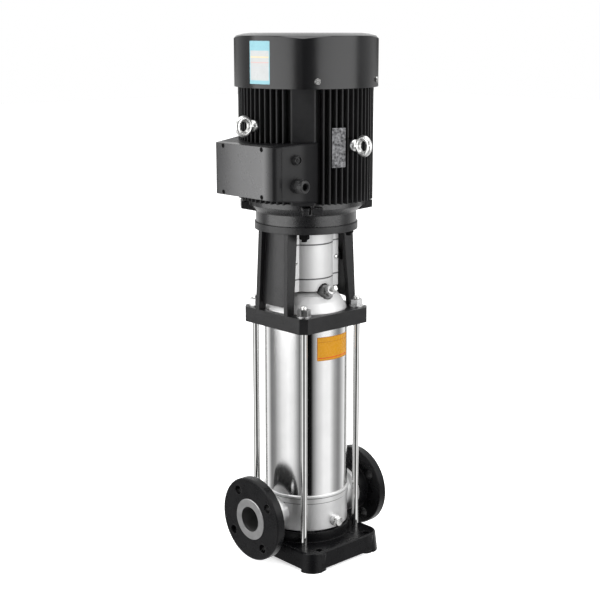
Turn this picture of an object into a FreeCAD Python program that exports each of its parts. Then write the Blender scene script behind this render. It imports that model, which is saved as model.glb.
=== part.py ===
import FreeCAD, Part
import math
import os

# Vertical multistage pump, in millimetres. Z runs up the shaft, +X from the suction port to the
# discharge port, and the origin is on the floor under the shaft.

# Ports and their loose flanges, DN 50 PN 16
port_height = 95.0
face_to_face = 300.0
port_bore_r = 25.0
port_neck_r = 34.0
port_shoulder_r = 46.0
port_shoulder_width = 10.0
port_ring_r = 41.0
port_ring_width = 11.0
port_ring_wall = 5.0
raised_face = 1.0
flange_r = 82.5
flange_thickness = 19.0
flange_hub_length = 22.0
flange_circle_r = 62.5
flange_hole_r = 9.0
flange_hole_count = 4
flange_edge_chamfer = 1.5
flange_turn = -9.5

# Base plate
base_half_x = 100.0
base_half_y = 124.0
base_draft = 4.0
base_corner_r = 30.0
base_top = 40.0
base_edge_r = 4.0
base_wall = 9.0
base_roof = 11.0
foot_height = 6.0
base_bolt_x = 65.0
base_bolt_y = 107.5
base_hole_r = 6.75
base_boss_r = 15.0
seat_r = 88.0
seat_top = 60.0
seat_recess_r = 66.0
seat_roof = 9.0

# Base chamber, the casting that holds both ports
chamber_r = 83.5
chamber_wall = 6.0
chamber_floor = 6.0
chamber_top = 136.0
chamber_bead_r = 86.6
chamber_bead_height = 5.5
chamber_bead_round = 2.0
chamber_band_r = 84.9
chamber_band_height = 16.5
chamber_foot_chamfer = 3.0
partition_top = 124.0
partition_thickness = 6.0
partition_wall_x = 44.0
partition_wall_thickness = 5.0
drain_height = 78.0
drain_boss_r = 11.0
drain_boss_length = 7.0
drain_thread_r = 7.0
drain_head_flats = 17.0
drain_head_length = 7.0
drain_collar_r = 10.5
drain_collar_length = 2.0

# Outer sleeve
sleeve_r = 83.2
sleeve_wall = 1.8
sleeve_insert = 8.0
gasket_thickness = 1.4

# Stages
stage_count = 7
stage_pitch = 45.0
stage_r = 66.0
stage_wall = 2.5
diaphragm_thickness = 3.0
guide_plate_r = 55.0
guide_plate_thickness = 2.0
guide_vane_height = 14.0
guide_vane_count = 6
vane_thickness = 2.0
vane_middle_share = 0.42
impeller_r = 54.0
impeller_shroud = 1.8
impeller_width = 14.0
impeller_vane_count = 6
impeller_lift = 5.0
eye_r = 26.5
eye_neck_wall = 3.0
eye_neck_length = 7.0
wear_ring_width = 3.0
hub_r = 14.0
bush_width = 3.0
bush_stage_count_step = 4
vane_inner_r = 24.0
vane_sweep = 62.0
guide_vane_inner_r = 34.0
guide_vane_sweep = -50.0
top_chamber_leg_count = 6
top_chamber_leg_r = 4.0
top_chamber_height = 27.0

# Pump shaft and shaft seal
pump_shaft_r = 10.0
shaft_nut_flats = 27.0
shaft_nut_height = 10.0
shaft_tip = 2.0
seal_ring_r = 17.0
seal_seat_height = 9.0
seal_neck_wall = 9.0

# Pump head, a dome under the motor stool
head_flange_r = 85.6
head_flange_height = 12.0
head_skirt_wall = 6.0
dome_r = 80.6
dome_wall = 6.0
dome_shoulder_height = 28.0
dome_slope_r = 60.0
dome_slope_height = 60.0
dome_top_r = 38.0
dome_top_height = 72.0
head_neck_height = 84.0
vent_inset = 2.0
vent_over_slope = 7.0
vent_reach = dome_slope_r - vent_inset
vent_tilt = 24.0
vent_boss_flats = 26.0
vent_boss_length = 14.0
vent_boss_proud = 4.4
vent_boss_root = 20.0
vent_thread_r = 7.0
vent_hex_flats = 19.0
vent_hex_length = 12.0
vent_screw_r = 3.0
vent_screw_head_r = 4.8
vent_screw_head_length = 12.0
vent_screw_slot = 1.2

# Motor stool
plate_half = 91.0
plate_bottom = 472.0
plate_top = 502.0
plate_corner_chamfer = 13.0
plate_corner_r = 5.0
stool_ring_r = 100.0
stool_ring_thickness = 13.5
pillar_half_width = 42.0
pillar_splay = 4.2
pillar_rib = 10.0
pillar_top_x = 85.5
pillar_top_inner_x = 61.5
pillar_foot_inner_x = 74.5
web_thickness = 7.0
web_top_r = 81.0
web_foot_r = 89.0
web_foot_height = 14.0
guard_lug_x = 47.0
guard_lug_depth = 10.0
guard_lug_half_height = 8.0

# Staybolts
staybolt_offset = 70.5
staybolt_r = 6.5
staybolt_hole_r = 7.5
staybolt_boss_r = 14.0
staybolt_end = 12.0
staybolt_tip = 6.0
nut_flats = 22.0
nut_height = 13.0
nut_chamfer = 1.4
front_nut_turn = 17.4
side_nut_turn = 47.4
washer_r = 14.0
washer_thickness = 2.5

# Coupling and its guards
coupling_r = 37.0
coupling_low = 562.0
coupling_gap = 3.0
coupling_screw_r = 4.0
coupling_screw_y = 27.0
coupling_screw_rows = (22.0, 76.0)
coupling_head_r = 6.5
coupling_head_length = 6.0
coupling_relief = 8.0
coupling_pin_r = 3.0
coupling_pin_height = 11.0
guard_r = 52.0
guard_sheet = 1.5
guard_flange_y = 28.0
guard_flange_end = 60.0
guard_low = 541.0
guard_groove = 0.9
guard_groove_half_height = 1.2
guard_groove_heights = (565.0, 632.0)
guard_vent_r = 17.2
guard_screw_x = 54.0
guard_screw_height = 598.0
guard_screw_r = 2.5
guard_screw_head_r = 5.0
guard_screw_head_length = 3.0

# Motor, on a 200 mm flange with its bolts on a 165 mm circle
motor_face = 672.5
motor_flange_r = 97.6
motor_register_r = 65.0
motor_register_height = 4.0
motor_bolt_circle_r = 82.5
motor_bolt_r = 5.0
motor_bolt_flats = 16.0
motor_bolt_head = 7.0
motor_bolt_depth = 18.0
motor_washer_r = 10.0
motor_washer_thickness = 3.0
shield_flange_height = 21.0
shield_wall = 8.0
shield_rim_height = 14.0
lug_half_width = 19.0
lug_turn = 8.0
lug_root_low = 693.5
lug_low = 699.5
lug_high = 713.0
lug_slot_half = 2.5
lug_slot_y = -5.0
lug_sink_r = 7.3
lug_sink = 6.0
lug_hole_r = 4.5
frame_fin_r = 128.0
lug_reach = frame_fin_r - 1.5
shield_rim_r = frame_fin_r - 16.0
frame_low = 718.0
frame_high = 938.0
frame_bore_r = 88.0
frame_root_r = frame_fin_r - 20.0
fin_count = 64
fin_root_half = 2.1
fin_tip_half = 1.4
pad_half_width = 23.0
pad_chamfer = 3.0
pad_skip = 15.0
shield_bolt_radius = frame_fin_r - 11.0
shield_bolt_r = 4.0
shield_bolt_flats = 13.0
shield_bolt_head = 5.3
shield_bolt_sunk_r = 6.5
shield_bolt_depth = 22.0
upper_shield_thickness = 12.0
upper_shield_r = frame_fin_r - 6.0
motor_shaft_r = 19.0
motor_shaft_extension = 80.0
journal_r = 20.0
bearing_lower_z = 690.0
bearing_lower_r = 45.0
bearing_lower_width = 23.0
bearing_upper_r = 40.0
bearing_upper_width = 18.0
bearing_ring = 7.0
bearing_shield = 1.2
bearing_gap = 0.4
core_low = 760.0
core_high = 890.0
air_gap = 0.6
rotor_r = 57.0
winding_inner_r = 62.0
winding_outer_r = 83.0
winding_height = 26.0
winding_round = 3.0

# Fan and its cover
cover_low = 929.0
cover_corner_r = frame_fin_r + 8.8
cover_face_r = frame_fin_r + 3.5
cover_corner_fillet = 6.0
cover_height = 99.0
cover_top = cover_low + cover_height
cover_rim = cover_top - 10.5
cover_crown_r = cover_face_r - 27.5
cover_shoulder_share = 0.45
cover_crown_step = 14.0
cover_rim_round = 3.4
cover_crown_round = 1.4
cover_sheet = 2.0
cover_screw_angle = 34.0
cover_screw_height = 943.0
cover_screw_r = 3.0
cover_screw_head_r = 5.5
cover_screw_head_length = 3.2
cover_ear_half_width = 9.0
grille_inner_r = 26.0
grille_pitch = 13.0
grille_slot = 7.0
grille_rows = 5
grille_spoke = 12.0
fan_r = 104.0
fan_hub_r = 30.0
fan_low = cover_top - 66.0
fan_disc = 3.0
fan_blade_height = 34.0
fan_blade_count = 7
fan_blade = 3.0
fan_blade_low_r = 70.0

# Lifting eyes, on the suction side and on the front
box_over_frame = 60.7
box_back_half_z = 55.5
eye_over_box = 26.8
eye_over_frame = 108.0
box_height = frame_low + box_over_frame
eye_suction_height = box_height + box_back_half_z + eye_over_box
eye_front_height = frame_low + eye_over_frame
eye_ring_r = 14.5
eye_wire_r = 5.5
eye_reach = frame_fin_r + 27.0
eye_collar_r = 9.0
eye_collar_length = 6.0
eye_shank_r = 5.0
eye_shank_depth = 14.0
eye_boss_r = 11.0

# Terminal box, on the suction side
box_proud = 27.0
lid_depth = 14.0
cavity_depth = 41.0
box_front = frame_fin_r + box_proud
box_seam = box_front - lid_depth
box_floor = box_front - cavity_depth
box_depth = 83.0
box_back = box_front - box_depth
box_front_half_y = 88.0
box_front_half_z = 48.2
box_lid_draft = 1.4
box_back_half_y = 109.0
box_corner_r = 3.0
box_inner_r = 2.0
box_front_round = 11.0
box_wall = 4.0
box_hole_run = 12.0
lid_screw_rear_y = 61.0
lid_screw_front_y = 49.0
lid_screw_edge = 4.8
lid_screw_half_z = box_front_half_z - lid_screw_edge
lid_screw_r = 2.4
lid_screw_head_r = 4.2
lid_screw_sink = 2.5
lid_post_wall = 3.0
lid_screw_depth = 14.0
gland_x = 42.0 - box_front
gland_height = box_height - 21.7
gland_body_r = 12.0
gland_hole_r = 6.5
gland_nut_flats = 24.0
gland_nut_length = 8.0
gland_reach = 122.0
gland_thread_r = 9.5
gland_dome = 3.0
plug_x = 40.0 - box_front
plug_height = box_height + 25.3
plug_r = 8.0
plug_thread_r = 6.0
plug_proud = 3.0
plug_edge = 1.0
thread_past_wall = 5.0
wall_boss_reach = 103.0
terminal_block_x = 8.0
terminal_block_half_y = 26.0
terminal_block_half_z = 16.0
terminal_stud_r = 2.5
terminal_stud_height = 8.0

# Nameplate, bare
nameplate_angle = -105.0
nameplate_half_width = 14.0
nameplate_low = 787.0
nameplate_high = 859.0
nameplate_thickness = 1.0

# Clearances
running_fit = 0.08
body_gap = 0.3
seat_gap = 0.1
overrun = 2.0
inset_tolerance = 0.001
quarter_turn = 90.0

# Heights and lengths that follow from the values above
vent_height = plate_bottom + dome_slope_height + vent_over_slope
port_end = face_to_face / 2
flange_face = port_end - raised_face
flange_back = flange_face - flange_thickness
port_ring_back = port_end - port_ring_width
port_neck_end = port_end - port_ring_wall
shoulder_end = flange_back - flange_hub_length - body_gap
sleeve_low = chamber_top - sleeve_insert
sleeve_high = plate_bottom + sleeve_insert
sleeve_inner_r = sleeve_r - sleeve_wall
stack_top = partition_top + stage_count * stage_pitch
top_chamber_top = stack_top + top_chamber_height
head_low = top_chamber_top
eye_neck_r = eye_r + eye_neck_wall
wear_ring_inner_r = eye_neck_r + running_fit
wear_ring_r = wear_ring_inner_r + wear_ring_width
bush_inner_r = hub_r + running_fit
bush_r = bush_inner_r + bush_width
head_neck_top = plate_bottom + head_neck_height
seal_seat_low = head_neck_top - seal_seat_height
stool_ring_low = motor_face - stool_ring_thickness
motor_shaft_low = motor_face - motor_shaft_extension
coupling_high = motor_face - coupling_relief
upper_shield_low = frame_high
bearing_upper_z = upper_shield_low
plate_head_bore_r = dome_r + body_gap
plate_recess_r = head_flange_r + seat_gap
plate_recess_top = plate_bottom + head_flange_height

V = FreeCAD.Vector
ORIGIN = V(0, 0, 0)
UP = V(0, 0, 1)
FULL_TURN = 360.0


def turned(*points):
    """Solid turned round the Z axis from an outline of (radius, height) points."""
    outline = [V(r, 0, z) for r, z in points]
    face = Part.Face(Part.makePolygon(outline + outline[:1]))
    return face.revolve(ORIGIN, UP, FULL_TURN)


def ring(inner_r, outer_r, low, high):
    return turned((inner_r, low), (outer_r, low), (outer_r, high), (inner_r, high))


def rod(r, low, high, x=0.0, y=0.0):
    return Part.makeCylinder(r, high - low, V(x, y, low))


def block(x, y, z):
    """Box between the (low, high) pairs x, y and z."""
    return Part.makeBox(x[1] - x[0], y[1] - y[0], z[1] - z[0], V(x[0], y[0], z[0]))


def prism(points, low, high):
    outline = [V(x, y, low) for x, y in points]
    face = Part.Face(Part.makePolygon(outline + outline[:1]))
    return face.extrude(V(0, 0, high - low))


def hexagon(flats, low, high):
    corner_r = flats / math.sqrt(3)
    corners = [polar(corner_r, 60 * k) for k in range(6)]
    return prism(corners, low, high)


def polar(r, angle):
    return r * math.cos(math.radians(angle)), r * math.sin(math.radians(angle))


def turn(shape, angle):
    copy = shape.copy()
    copy.rotate(ORIGIN, UP, angle)
    return copy


def around(shape, angles):
    return [turn(shape, angle) for angle in angles]


def diagonals():
    return even_angles(4, 45)


def even_angles(count, start=0.0):
    return [start + k * FULL_TURN / count for k in range(count)]


def moved(shape, x=0.0, y=0.0, z=0.0):
    copy = shape.copy()
    copy.translate(V(x, y, z))
    return copy


def aimed(shape, position, direction):
    """Copy of a shape made along Z, with its origin at position and its Z along direction."""
    copy = shape.copy()
    copy.Placement = FreeCAD.Placement(position, FreeCAD.Rotation(UP, direction))
    return copy


def fused(first, *others):
    return first.fuse(list(others)).removeSplitter() if others else first


def cut(shape, *tools):
    return shape.cut(list(tools))


def mirror_x(shape):
    return shape.mirror(ORIGIN, V(1, 0, 0))


def mirror_y(shape):
    return shape.mirror(ORIGIN, V(0, 1, 0))


def corners(x, y):
    return [(x, y), (-x, y), (-x, -y), (x, -y)]


def rounded_rectangle(half_x, half_y, r, z):
    """Closed wire of a rectangle with rounded corners, at height z."""
    edges = []
    for quadrant, (sx, sy) in enumerate(((1, 1), (-1, 1), (-1, -1), (1, -1))):
        centre = V(sx * (half_x - r), sy * (half_y - r), z)
        start = quarter_turn * quadrant
        points = [centre + V(*polar(r, start + a), 0) for a in (0, quarter_turn / 2, quarter_turn)]
        edges.append(Part.Arc(*points).toShape())
    sides = []
    for k, edge in enumerate(edges):
        following = edges[(k + 1) % 4]
        sides.append(Part.makeLine(edge.lastVertex().Point, following.firstVertex().Point))
    return Part.Wire(Part.__sortEdges__(edges + sides))


def rounded_loft(low_size, high_size):
    """Tapered block between two rounded rectangles, each (half_x, half_y, r, z)."""
    return Part.makeLoft([rounded_rectangle(*low_size), rounded_rectangle(*high_size)], True, True)


def edges_at(shape, z):
    """Edges that lie flat at height z."""
    tolerance = 1e-4
    return [e for e in shape.Edges if all(abs(v.Z - z) < tolerance for v in e.Vertexes)]


def curved_vane(inner_r, outer_r, sweep, thickness, low, high):
    """Vane on an arc that leaves inner_r at angle 0 and reaches outer_r after sweep degrees."""
    start = V(*polar(inner_r, 0), low)
    middle = V(*polar((inner_r + outer_r) / 2, sweep * vane_middle_share), low)
    end = V(*polar(outer_r, sweep), low)
    circle = Part.Arc(start, middle, end).toShape().Curve
    centre = circle.Center
    grow = 1 + thickness / (2 * circle.Radius)
    shrink = 1 - thickness / (2 * circle.Radius)
    far = [centre + (p - centre) * grow for p in (start, middle, end)]
    near = [centre + (p - centre) * shrink for p in (start, middle, end)]
    outline = [Part.Arc(*far).toShape(), Part.makeLine(far[2], near[2]),
               Part.Arc(near[2], near[1], near[0]).toShape(), Part.makeLine(near[0], far[0])]
    return Part.Face(Part.Wire(outline)).extrude(V(0, 0, high - low))


def base_plate():
    foot = (base_half_x, base_half_y, base_corner_r, 0)
    top = (base_half_x - base_draft, base_half_y - base_draft, base_corner_r - base_draft / 2, base_top)
    shell = rounded_loft(foot, top)
    shell = shell.makeFillet(base_edge_r, edges_at(shell, base_top))
    cavity_top = base_top - base_roof
    inner_foot = (base_half_x - base_wall, base_half_y - base_wall, base_corner_r - base_wall, -overrun)
    inner_top = (base_half_x - base_wall - base_draft, base_half_y - base_wall - base_draft,
                 base_corner_r - base_wall, cavity_top)
    straight_x = base_half_x - base_corner_r
    straight_y = base_half_y - base_corner_r
    side_x = base_half_x + overrun
    side_y = base_half_y + overrun
    under = (-overrun, foot_height)
    shell = cut(shell, rounded_loft(inner_foot, inner_top),
                block((-straight_x, straight_x), (-side_y, side_y), under),
                block((-side_x, side_x), (-straight_y, straight_y), under))
    staybolt_bosses = [rod(staybolt_boss_r, foot_height, base_top, x, y)
                       for x, y in corners(staybolt_offset, staybolt_offset)]
    bolt_bosses = [rod(base_boss_r, 0, base_top - base_edge_r, x, y)
                   for x, y in corners(base_bolt_x, base_bolt_y)]
    seat = rod(seat_r, cavity_top, seat_top)
    plate = fused(shell, seat, *staybolt_bosses, *bolt_bosses)
    staybolt_holes = [rod(staybolt_r + seat_gap, staybolt_end - overrun, base_top + overrun, x, y)
                      for x, y in corners(staybolt_offset, staybolt_offset)]
    bolt_holes = [rod(base_hole_r, -overrun, base_top + overrun, x, y)
                  for x, y in corners(base_bolt_x, base_bolt_y)]
    recess = rod(seat_recess_r, 0, seat_top - seat_roof)
    return cut(plate, recess, *staybolt_holes, *bolt_holes)


def on_port_axis(shape):
    """Copy of a shape made along Z, laid on the suction port's axis."""
    return aimed(shape, V(0, 0, port_height), V(-1, 0, 0))


def base_chamber():
    band_low = chamber_top - chamber_band_height
    bead_low = chamber_top - chamber_bead_height
    inner_r = chamber_r - chamber_wall
    socket_r = sleeve_r + seat_gap
    socket_low = sleeve_low - gasket_thickness
    foot = chamber_foot_chamfer
    edge = chamber_bead_round / 2
    shell = turned((0, seat_top), (chamber_r - foot, seat_top), (chamber_r, seat_top + foot),
                   (chamber_r, band_low), (chamber_band_r, band_low), (chamber_band_r, bead_low - edge),
                   (chamber_bead_r - edge, bead_low), (chamber_bead_r, bead_low + edge),
                   (chamber_bead_r, chamber_top - 2 * edge), (chamber_bead_r - edge / 2, chamber_top - edge / 2),
                   (chamber_bead_r - 2 * edge, chamber_top), (socket_r, chamber_top),
                   (socket_r, socket_low), (inner_r, socket_low), (inner_r, seat_top + chamber_floor),
                   (0, seat_top + chamber_floor))
    inside = rod(inner_r + 0.5, seat_top + chamber_floor / 2, chamber_top)
    wall_x = (partition_wall_x, partition_wall_x + partition_wall_thickness)
    partition_low = partition_top - partition_thickness
    wall = block(wall_x, (-chamber_r, chamber_r), (seat_top + chamber_floor / 2, partition_low + 1))
    roof = cut(rod(inner_r + 0.5, partition_low, partition_top),
               block((wall_x[1], chamber_r), (-chamber_r, chamber_r), (0, chamber_top)),
               rod(wear_ring_r + seat_gap, 0, chamber_top))
    shoulder_back = shoulder_end - port_shoulder_width
    neck_start = inner_r - port_neck_r
    neck = turned((0, neck_start), (port_neck_r, neck_start), (port_neck_r, shoulder_back),
                  (port_shoulder_r, shoulder_back + 2), (port_shoulder_r, shoulder_end),
                  (port_neck_r, shoulder_end), (port_neck_r, port_neck_end), (0, port_neck_end))
    neck = on_port_axis(neck)
    bore = on_port_axis(rod(port_bore_r, wall_x[1] + 1, port_end + overrun))
    necks = [cut(n, rod(inner_r, 0, chamber_top), rod(socket_r, socket_low, chamber_top + overrun))
             for n in (neck, mirror_x(neck))]
    drain_axis = V(0, -1, 0)
    drain_face = chamber_r + drain_boss_length
    drain_boss = aimed(rod(drain_boss_r, inner_r, drain_face), V(0, 0, drain_height), drain_axis)
    drain_boss = cut(drain_boss, rod(inner_r, 0, chamber_top))
    drain_hole = aimed(rod(drain_thread_r + seat_gap, inner_r - overrun, drain_face + overrun),
                       V(0, 0, drain_height), drain_axis)
    casting = fused(shell, wall.common(inside), roof, *necks, drain_boss)
    return cut(casting, bore, mirror_x(bore), drain_hole)


def port_rings():
    inner = port_bore_r
    piece = turned((port_neck_r + seat_gap, port_ring_back), (port_ring_r, port_ring_back),
                   (port_ring_r, port_end - 0.8), (port_ring_r - 0.8, port_end), (inner, port_end),
                   (inner, port_neck_end), (port_neck_r + seat_gap, port_neck_end))
    piece = on_port_axis(piece)
    return [piece, mirror_x(piece)]


def loose_flange(rotation):
    """Suction flange, turned about its port by rotation degrees."""
    bore_r = port_neck_r + running_fit
    recess_r = port_ring_r + running_fit
    recess_back = port_ring_back - body_gap
    hub_back = flange_back - flange_hub_length
    edge = flange_edge_chamfer
    disc = turned((bore_r, hub_back), (port_shoulder_r - 2, hub_back), (port_shoulder_r, hub_back + 2),
                  (port_shoulder_r + 2, flange_back), (flange_r - edge, flange_back),
                  (flange_r, flange_back + edge), (flange_r, flange_face - edge),
                  (flange_r - edge, flange_face), (recess_r, flange_face), (recess_r, recess_back),
                  (bore_r, recess_back))
    start = 45.0 + rotation
    holes = []
    for angle in even_angles(flange_hole_count, start):
        x, y = polar(flange_circle_r, angle)
        holes.append(rod(flange_hole_r, flange_back - overrun, flange_face + overrun, x, y))
    return on_port_axis(cut(disc, *holes))


def suction_flange():
    return loose_flange(flange_turn)


def discharge_flange():
    return mirror_x(loose_flange(flange_turn))


def drain_plug():
    face = chamber_r + drain_boss_length
    inner = chamber_r - chamber_wall
    collar_end = face + drain_collar_length
    head = hexagon(drain_head_flats, collar_end, collar_end + drain_head_length)
    plug = fused(rod(drain_thread_r, inner, face), rod(drain_collar_r, face, collar_end), head)
    return aimed(plug, V(0, 0, drain_height), V(0, -1, 0))


def outer_sleeve():
    return ring(sleeve_inner_r, sleeve_r, sleeve_low, sleeve_high)


def sleeve_seals():
    return [ring(sleeve_inner_r, sleeve_r, sleeve_low - gasket_thickness, sleeve_low),
            ring(sleeve_inner_r, sleeve_r, sleeve_high, sleeve_high + gasket_thickness)]


def stage_chamber():
    """One stage bowl with its return vanes, its foot at height 0."""
    top = stage_pitch
    diaphragm_low = top - diaphragm_thickness
    guide_top = diaphragm_low - guide_vane_height
    guide_low = guide_top - guide_plate_thickness
    hole_r = wear_ring_r + seat_gap
    bowl = turned((stage_r - stage_wall, 0), (stage_r, 0), (stage_r, top), (hole_r, top),
                  (hole_r, diaphragm_low), (stage_r - stage_wall, diaphragm_low))
    guide = ring(bush_r + seat_gap, guide_plate_r, guide_low, guide_top)
    vane = curved_vane(guide_vane_inner_r, guide_plate_r - 1, guide_vane_sweep, vane_thickness,
                       guide_top - guide_plate_thickness / 2, diaphragm_low + diaphragm_thickness / 2)
    return fused(bowl, guide, *around(vane, even_angles(guide_vane_count)))


def stage_chambers():
    chamber = stage_chamber()
    return [moved(chamber, z=partition_top + k * stage_pitch) for k in range(stage_count)]


def wear_rings():
    first = ring(wear_ring_inner_r, wear_ring_r, partition_top - diaphragm_thickness, partition_top)
    return [moved(first, z=k * stage_pitch) for k in range(stage_count)]


def shaft_bushes():
    guide_top = stage_pitch - diaphragm_thickness - guide_vane_height
    bush = ring(bush_inner_r, bush_r, guide_top - 2 * guide_plate_thickness, guide_top + guide_plate_thickness)
    stages = range(0, stage_count, bush_stage_count_step)
    return [moved(bush, z=partition_top + k * stage_pitch) for k in stages]


def top_chamber():
    """Open cage over the last stage that lets the water out into the sleeve."""
    inner_r = eye_neck_r
    floor = ring(inner_r, stage_r, stack_top, stack_top + diaphragm_thickness)
    roof = ring(inner_r, stage_r, top_chamber_top - diaphragm_thickness, top_chamber_top)
    leg_circle = stage_r - top_chamber_leg_r - 2
    leg = rod(top_chamber_leg_r, stack_top + 1, top_chamber_top - 1, leg_circle)
    return fused(floor, roof, *around(leg, even_angles(top_chamber_leg_count)))


def impeller():
    """Closed impeller with its eye downwards, at height 0 of its stage."""
    low = impeller_lift
    vane_low = low + impeller_shroud
    vane_high = vane_low + impeller_width
    high = vane_high + impeller_shroud
    neck_low = low - eye_neck_length
    lower = turned((eye_r, neck_low), (eye_neck_r, neck_low), (eye_neck_r, low), (impeller_r, low),
                   (impeller_r, vane_low), (eye_r, vane_low))
    upper = turned((pump_shaft_r, vane_low), (hub_r, vane_low), (hub_r + 3, vane_high - 3), (hub_r + 8, vane_high),
                   (impeller_r, vane_high), (impeller_r, high), (hub_r, high), (pump_shaft_r, high))
    vane = curved_vane(vane_inner_r, impeller_r - 0.5, vane_sweep, vane_thickness,
                       vane_low - impeller_shroud / 2, vane_high + impeller_shroud / 2)
    eye_opening = rod(eye_r, neck_low, vane_low)
    vanes = [cut(v, eye_opening) for v in around(vane, even_angles(impeller_vane_count))]
    return fused(lower, upper, *vanes)


def impellers():
    wheel = impeller()
    return [moved(wheel, z=partition_top + k * stage_pitch) for k in range(stage_count)]


def impeller_spacers():
    """Sleeves that hold the impellers one pitch apart on the shaft."""
    high = impeller_lift + 2 * impeller_shroud + impeller_width
    low_face = impeller_lift + impeller_shroud
    spacer = ring(pump_shaft_r, hub_r, high, stage_pitch + low_face)
    return [moved(spacer, z=partition_top + k * stage_pitch) for k in range(stage_count)]


def pump_shaft():
    nut_low = partition_top + impeller_lift + impeller_shroud - shaft_nut_height
    low = nut_low - shaft_tip
    high = motor_shaft_low - coupling_gap
    shaft = rod(pump_shaft_r, low, high)
    pin_z = coupling_low + coupling_pin_height
    return cut(shaft, aimed(rod(coupling_pin_r, -coupling_r, coupling_r), V(0, 0, pin_z), V(0, 1, 0)))


def shaft_nut():
    high = partition_top + impeller_lift + impeller_shroud
    return cut(hexagon(shaft_nut_flats, high - shaft_nut_height, high), rod(pump_shaft_r, 0, high + overrun))


def vent_direction():
    tilt = math.radians(vent_tilt)
    return V(0, -math.cos(tilt), math.sin(tilt))


def pump_head():
    low = head_low
    groove_top = sleeve_high + gasket_thickness
    shoulder = plate_bottom + dome_shoulder_height
    slope = plate_bottom + dome_slope_height
    crown = plate_bottom + dome_top_height
    skirt_r = sleeve_inner_r - seat_gap
    wall = dome_wall
    neck_r = seal_ring_r + seal_neck_wall
    seat_r_out = seal_ring_r + 3
    shaft_hole = pump_shaft_r + 1
    shell = turned((skirt_r - head_skirt_wall - 12, low), (skirt_r, low), (skirt_r, groove_top),
                   (sleeve_r + seat_gap, groove_top), (sleeve_r + seat_gap, plate_bottom),
                   (head_flange_r, plate_bottom), (head_flange_r, plate_bottom + head_flange_height - 0.1),
                   (dome_r, plate_bottom + head_flange_height - 0.1), (dome_r, shoulder - 4),
                   (dome_r - 1.5, shoulder + 4), (dome_slope_r + 10, slope - 12), (dome_slope_r, slope),
                   (dome_slope_r - 12, slope + 6.5), (dome_top_r, crown - 1), (neck_r + 2, crown + 1),
                   (neck_r, crown + 3), (neck_r, head_neck_top), (seat_r_out, head_neck_top),
                   (seat_r_out, seal_seat_low), (shaft_hole + 3, seal_seat_low),
                   (shaft_hole + 3, crown - wall - 6), (dome_top_r - 4, crown - wall - 4),
                   (dome_slope_r - 12, slope - wall), (dome_r - wall - 4, shoulder - 2),
                   (skirt_r - head_skirt_wall, plate_bottom + 6), (skirt_r - head_skirt_wall, low + 5),
                   (skirt_r - head_skirt_wall - 12, low + 5))
    axis = vent_direction()
    mouth = vent_mouth()
    boss = aimed(hexagon(vent_boss_flats, -vent_boss_root, 0), mouth, axis)
    inner = turned((0, plate_bottom), (dome_r - wall - 4, shoulder - 2), (dome_slope_r - 12, slope - wall),
                   (dome_top_r - 4, crown - wall - 4), (0, crown - wall - 4))
    boss = cut(boss, inner)
    hole = aimed(rod(vent_thread_r + seat_gap, -vent_boss_root - 12, overrun), mouth, axis)
    return cut(fused(shell, boss), hole)


def vent_mouth():
    return V(0, -vent_reach, vent_height) + vent_direction() * vent_boss_proud


def vent_plug():
    hexed = hexagon(vent_hex_flats, 0, vent_hex_length)
    plug = fused(rod(vent_thread_r, -vent_boss_length, 0), hexed)
    plug = cut(plug, rod(vent_screw_r + running_fit, -vent_boss_length / 2, vent_hex_length + overrun))
    return aimed(plug, vent_mouth(), vent_direction())


def vent_screw():
    low = vent_hex_length + body_gap
    high = low + vent_screw_head_length
    screw = fused(rod(vent_screw_r, -vent_boss_length / 2 + 1, low + 1), rod(vent_screw_head_r, low, high))
    half = vent_screw_slot / 2
    slot = block((-vent_screw_head_r, vent_screw_head_r), (-half, half),
                 (high - vent_screw_slot, high + overrun))
    return aimed(cut(screw, slot), vent_mouth(), vent_direction())


def seal_seat():
    """Stationary ring of the shaft seal, held in the head's neck."""
    return ring(pump_shaft_r + 1, seal_ring_r + 3, seal_seat_low, head_neck_top)


def seal_ring():
    """Rotating ring of the shaft seal, on the shaft over the stationary one."""
    return ring(pump_shaft_r, seal_ring_r, head_neck_top + body_gap, coupling_low)


def pillar_rib_shape():
    """Front rib of the suction side pillar, leaning out a little towards its foot."""
    ends = []
    for x_out, x_in, y, z in ((plate_half, pillar_foot_inner_x, pillar_half_width + pillar_splay, plate_top - 1),
                              (pillar_top_x, pillar_top_inner_x, pillar_half_width, stool_ring_low + 1)):
        points = [V(-x_out, -y, z), V(-x_in, -y, z), V(-x_in, pillar_rib - y, z), V(-x_out, pillar_rib - y, z)]
        ends.append(Part.makePolygon(points + points[:1]))
    return Part.makeLoft(ends, True, True)


def stool_pillar():
    """Suction side pillar: two ribs joined by a curved web that ends above the plate."""
    rib = pillar_rib_shape()
    web_low = plate_top + web_foot_height
    cone = turned((web_foot_r - web_thickness, web_low), (web_foot_r, web_low),
                  (web_top_r, stool_ring_low + 1), (web_top_r - web_thickness, stool_ring_low + 1))
    inner = pillar_half_width - pillar_rib + pillar_splay + 1
    sector = block((-stool_ring_r, -web_top_r / 2), (-inner, inner), (web_low, motor_face))
    web = cone.common(sector)
    lug_y = guard_flange_y - guard_sheet
    lug = block((-web_top_r + web_thickness / 2, -guard_lug_x), (-lug_y, -lug_y + guard_lug_depth),
                (guard_screw_height - guard_lug_half_height, guard_screw_height + guard_lug_half_height))
    return fused(rib, mirror_y(rib), web, lug, mirror_y(lug))


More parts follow.
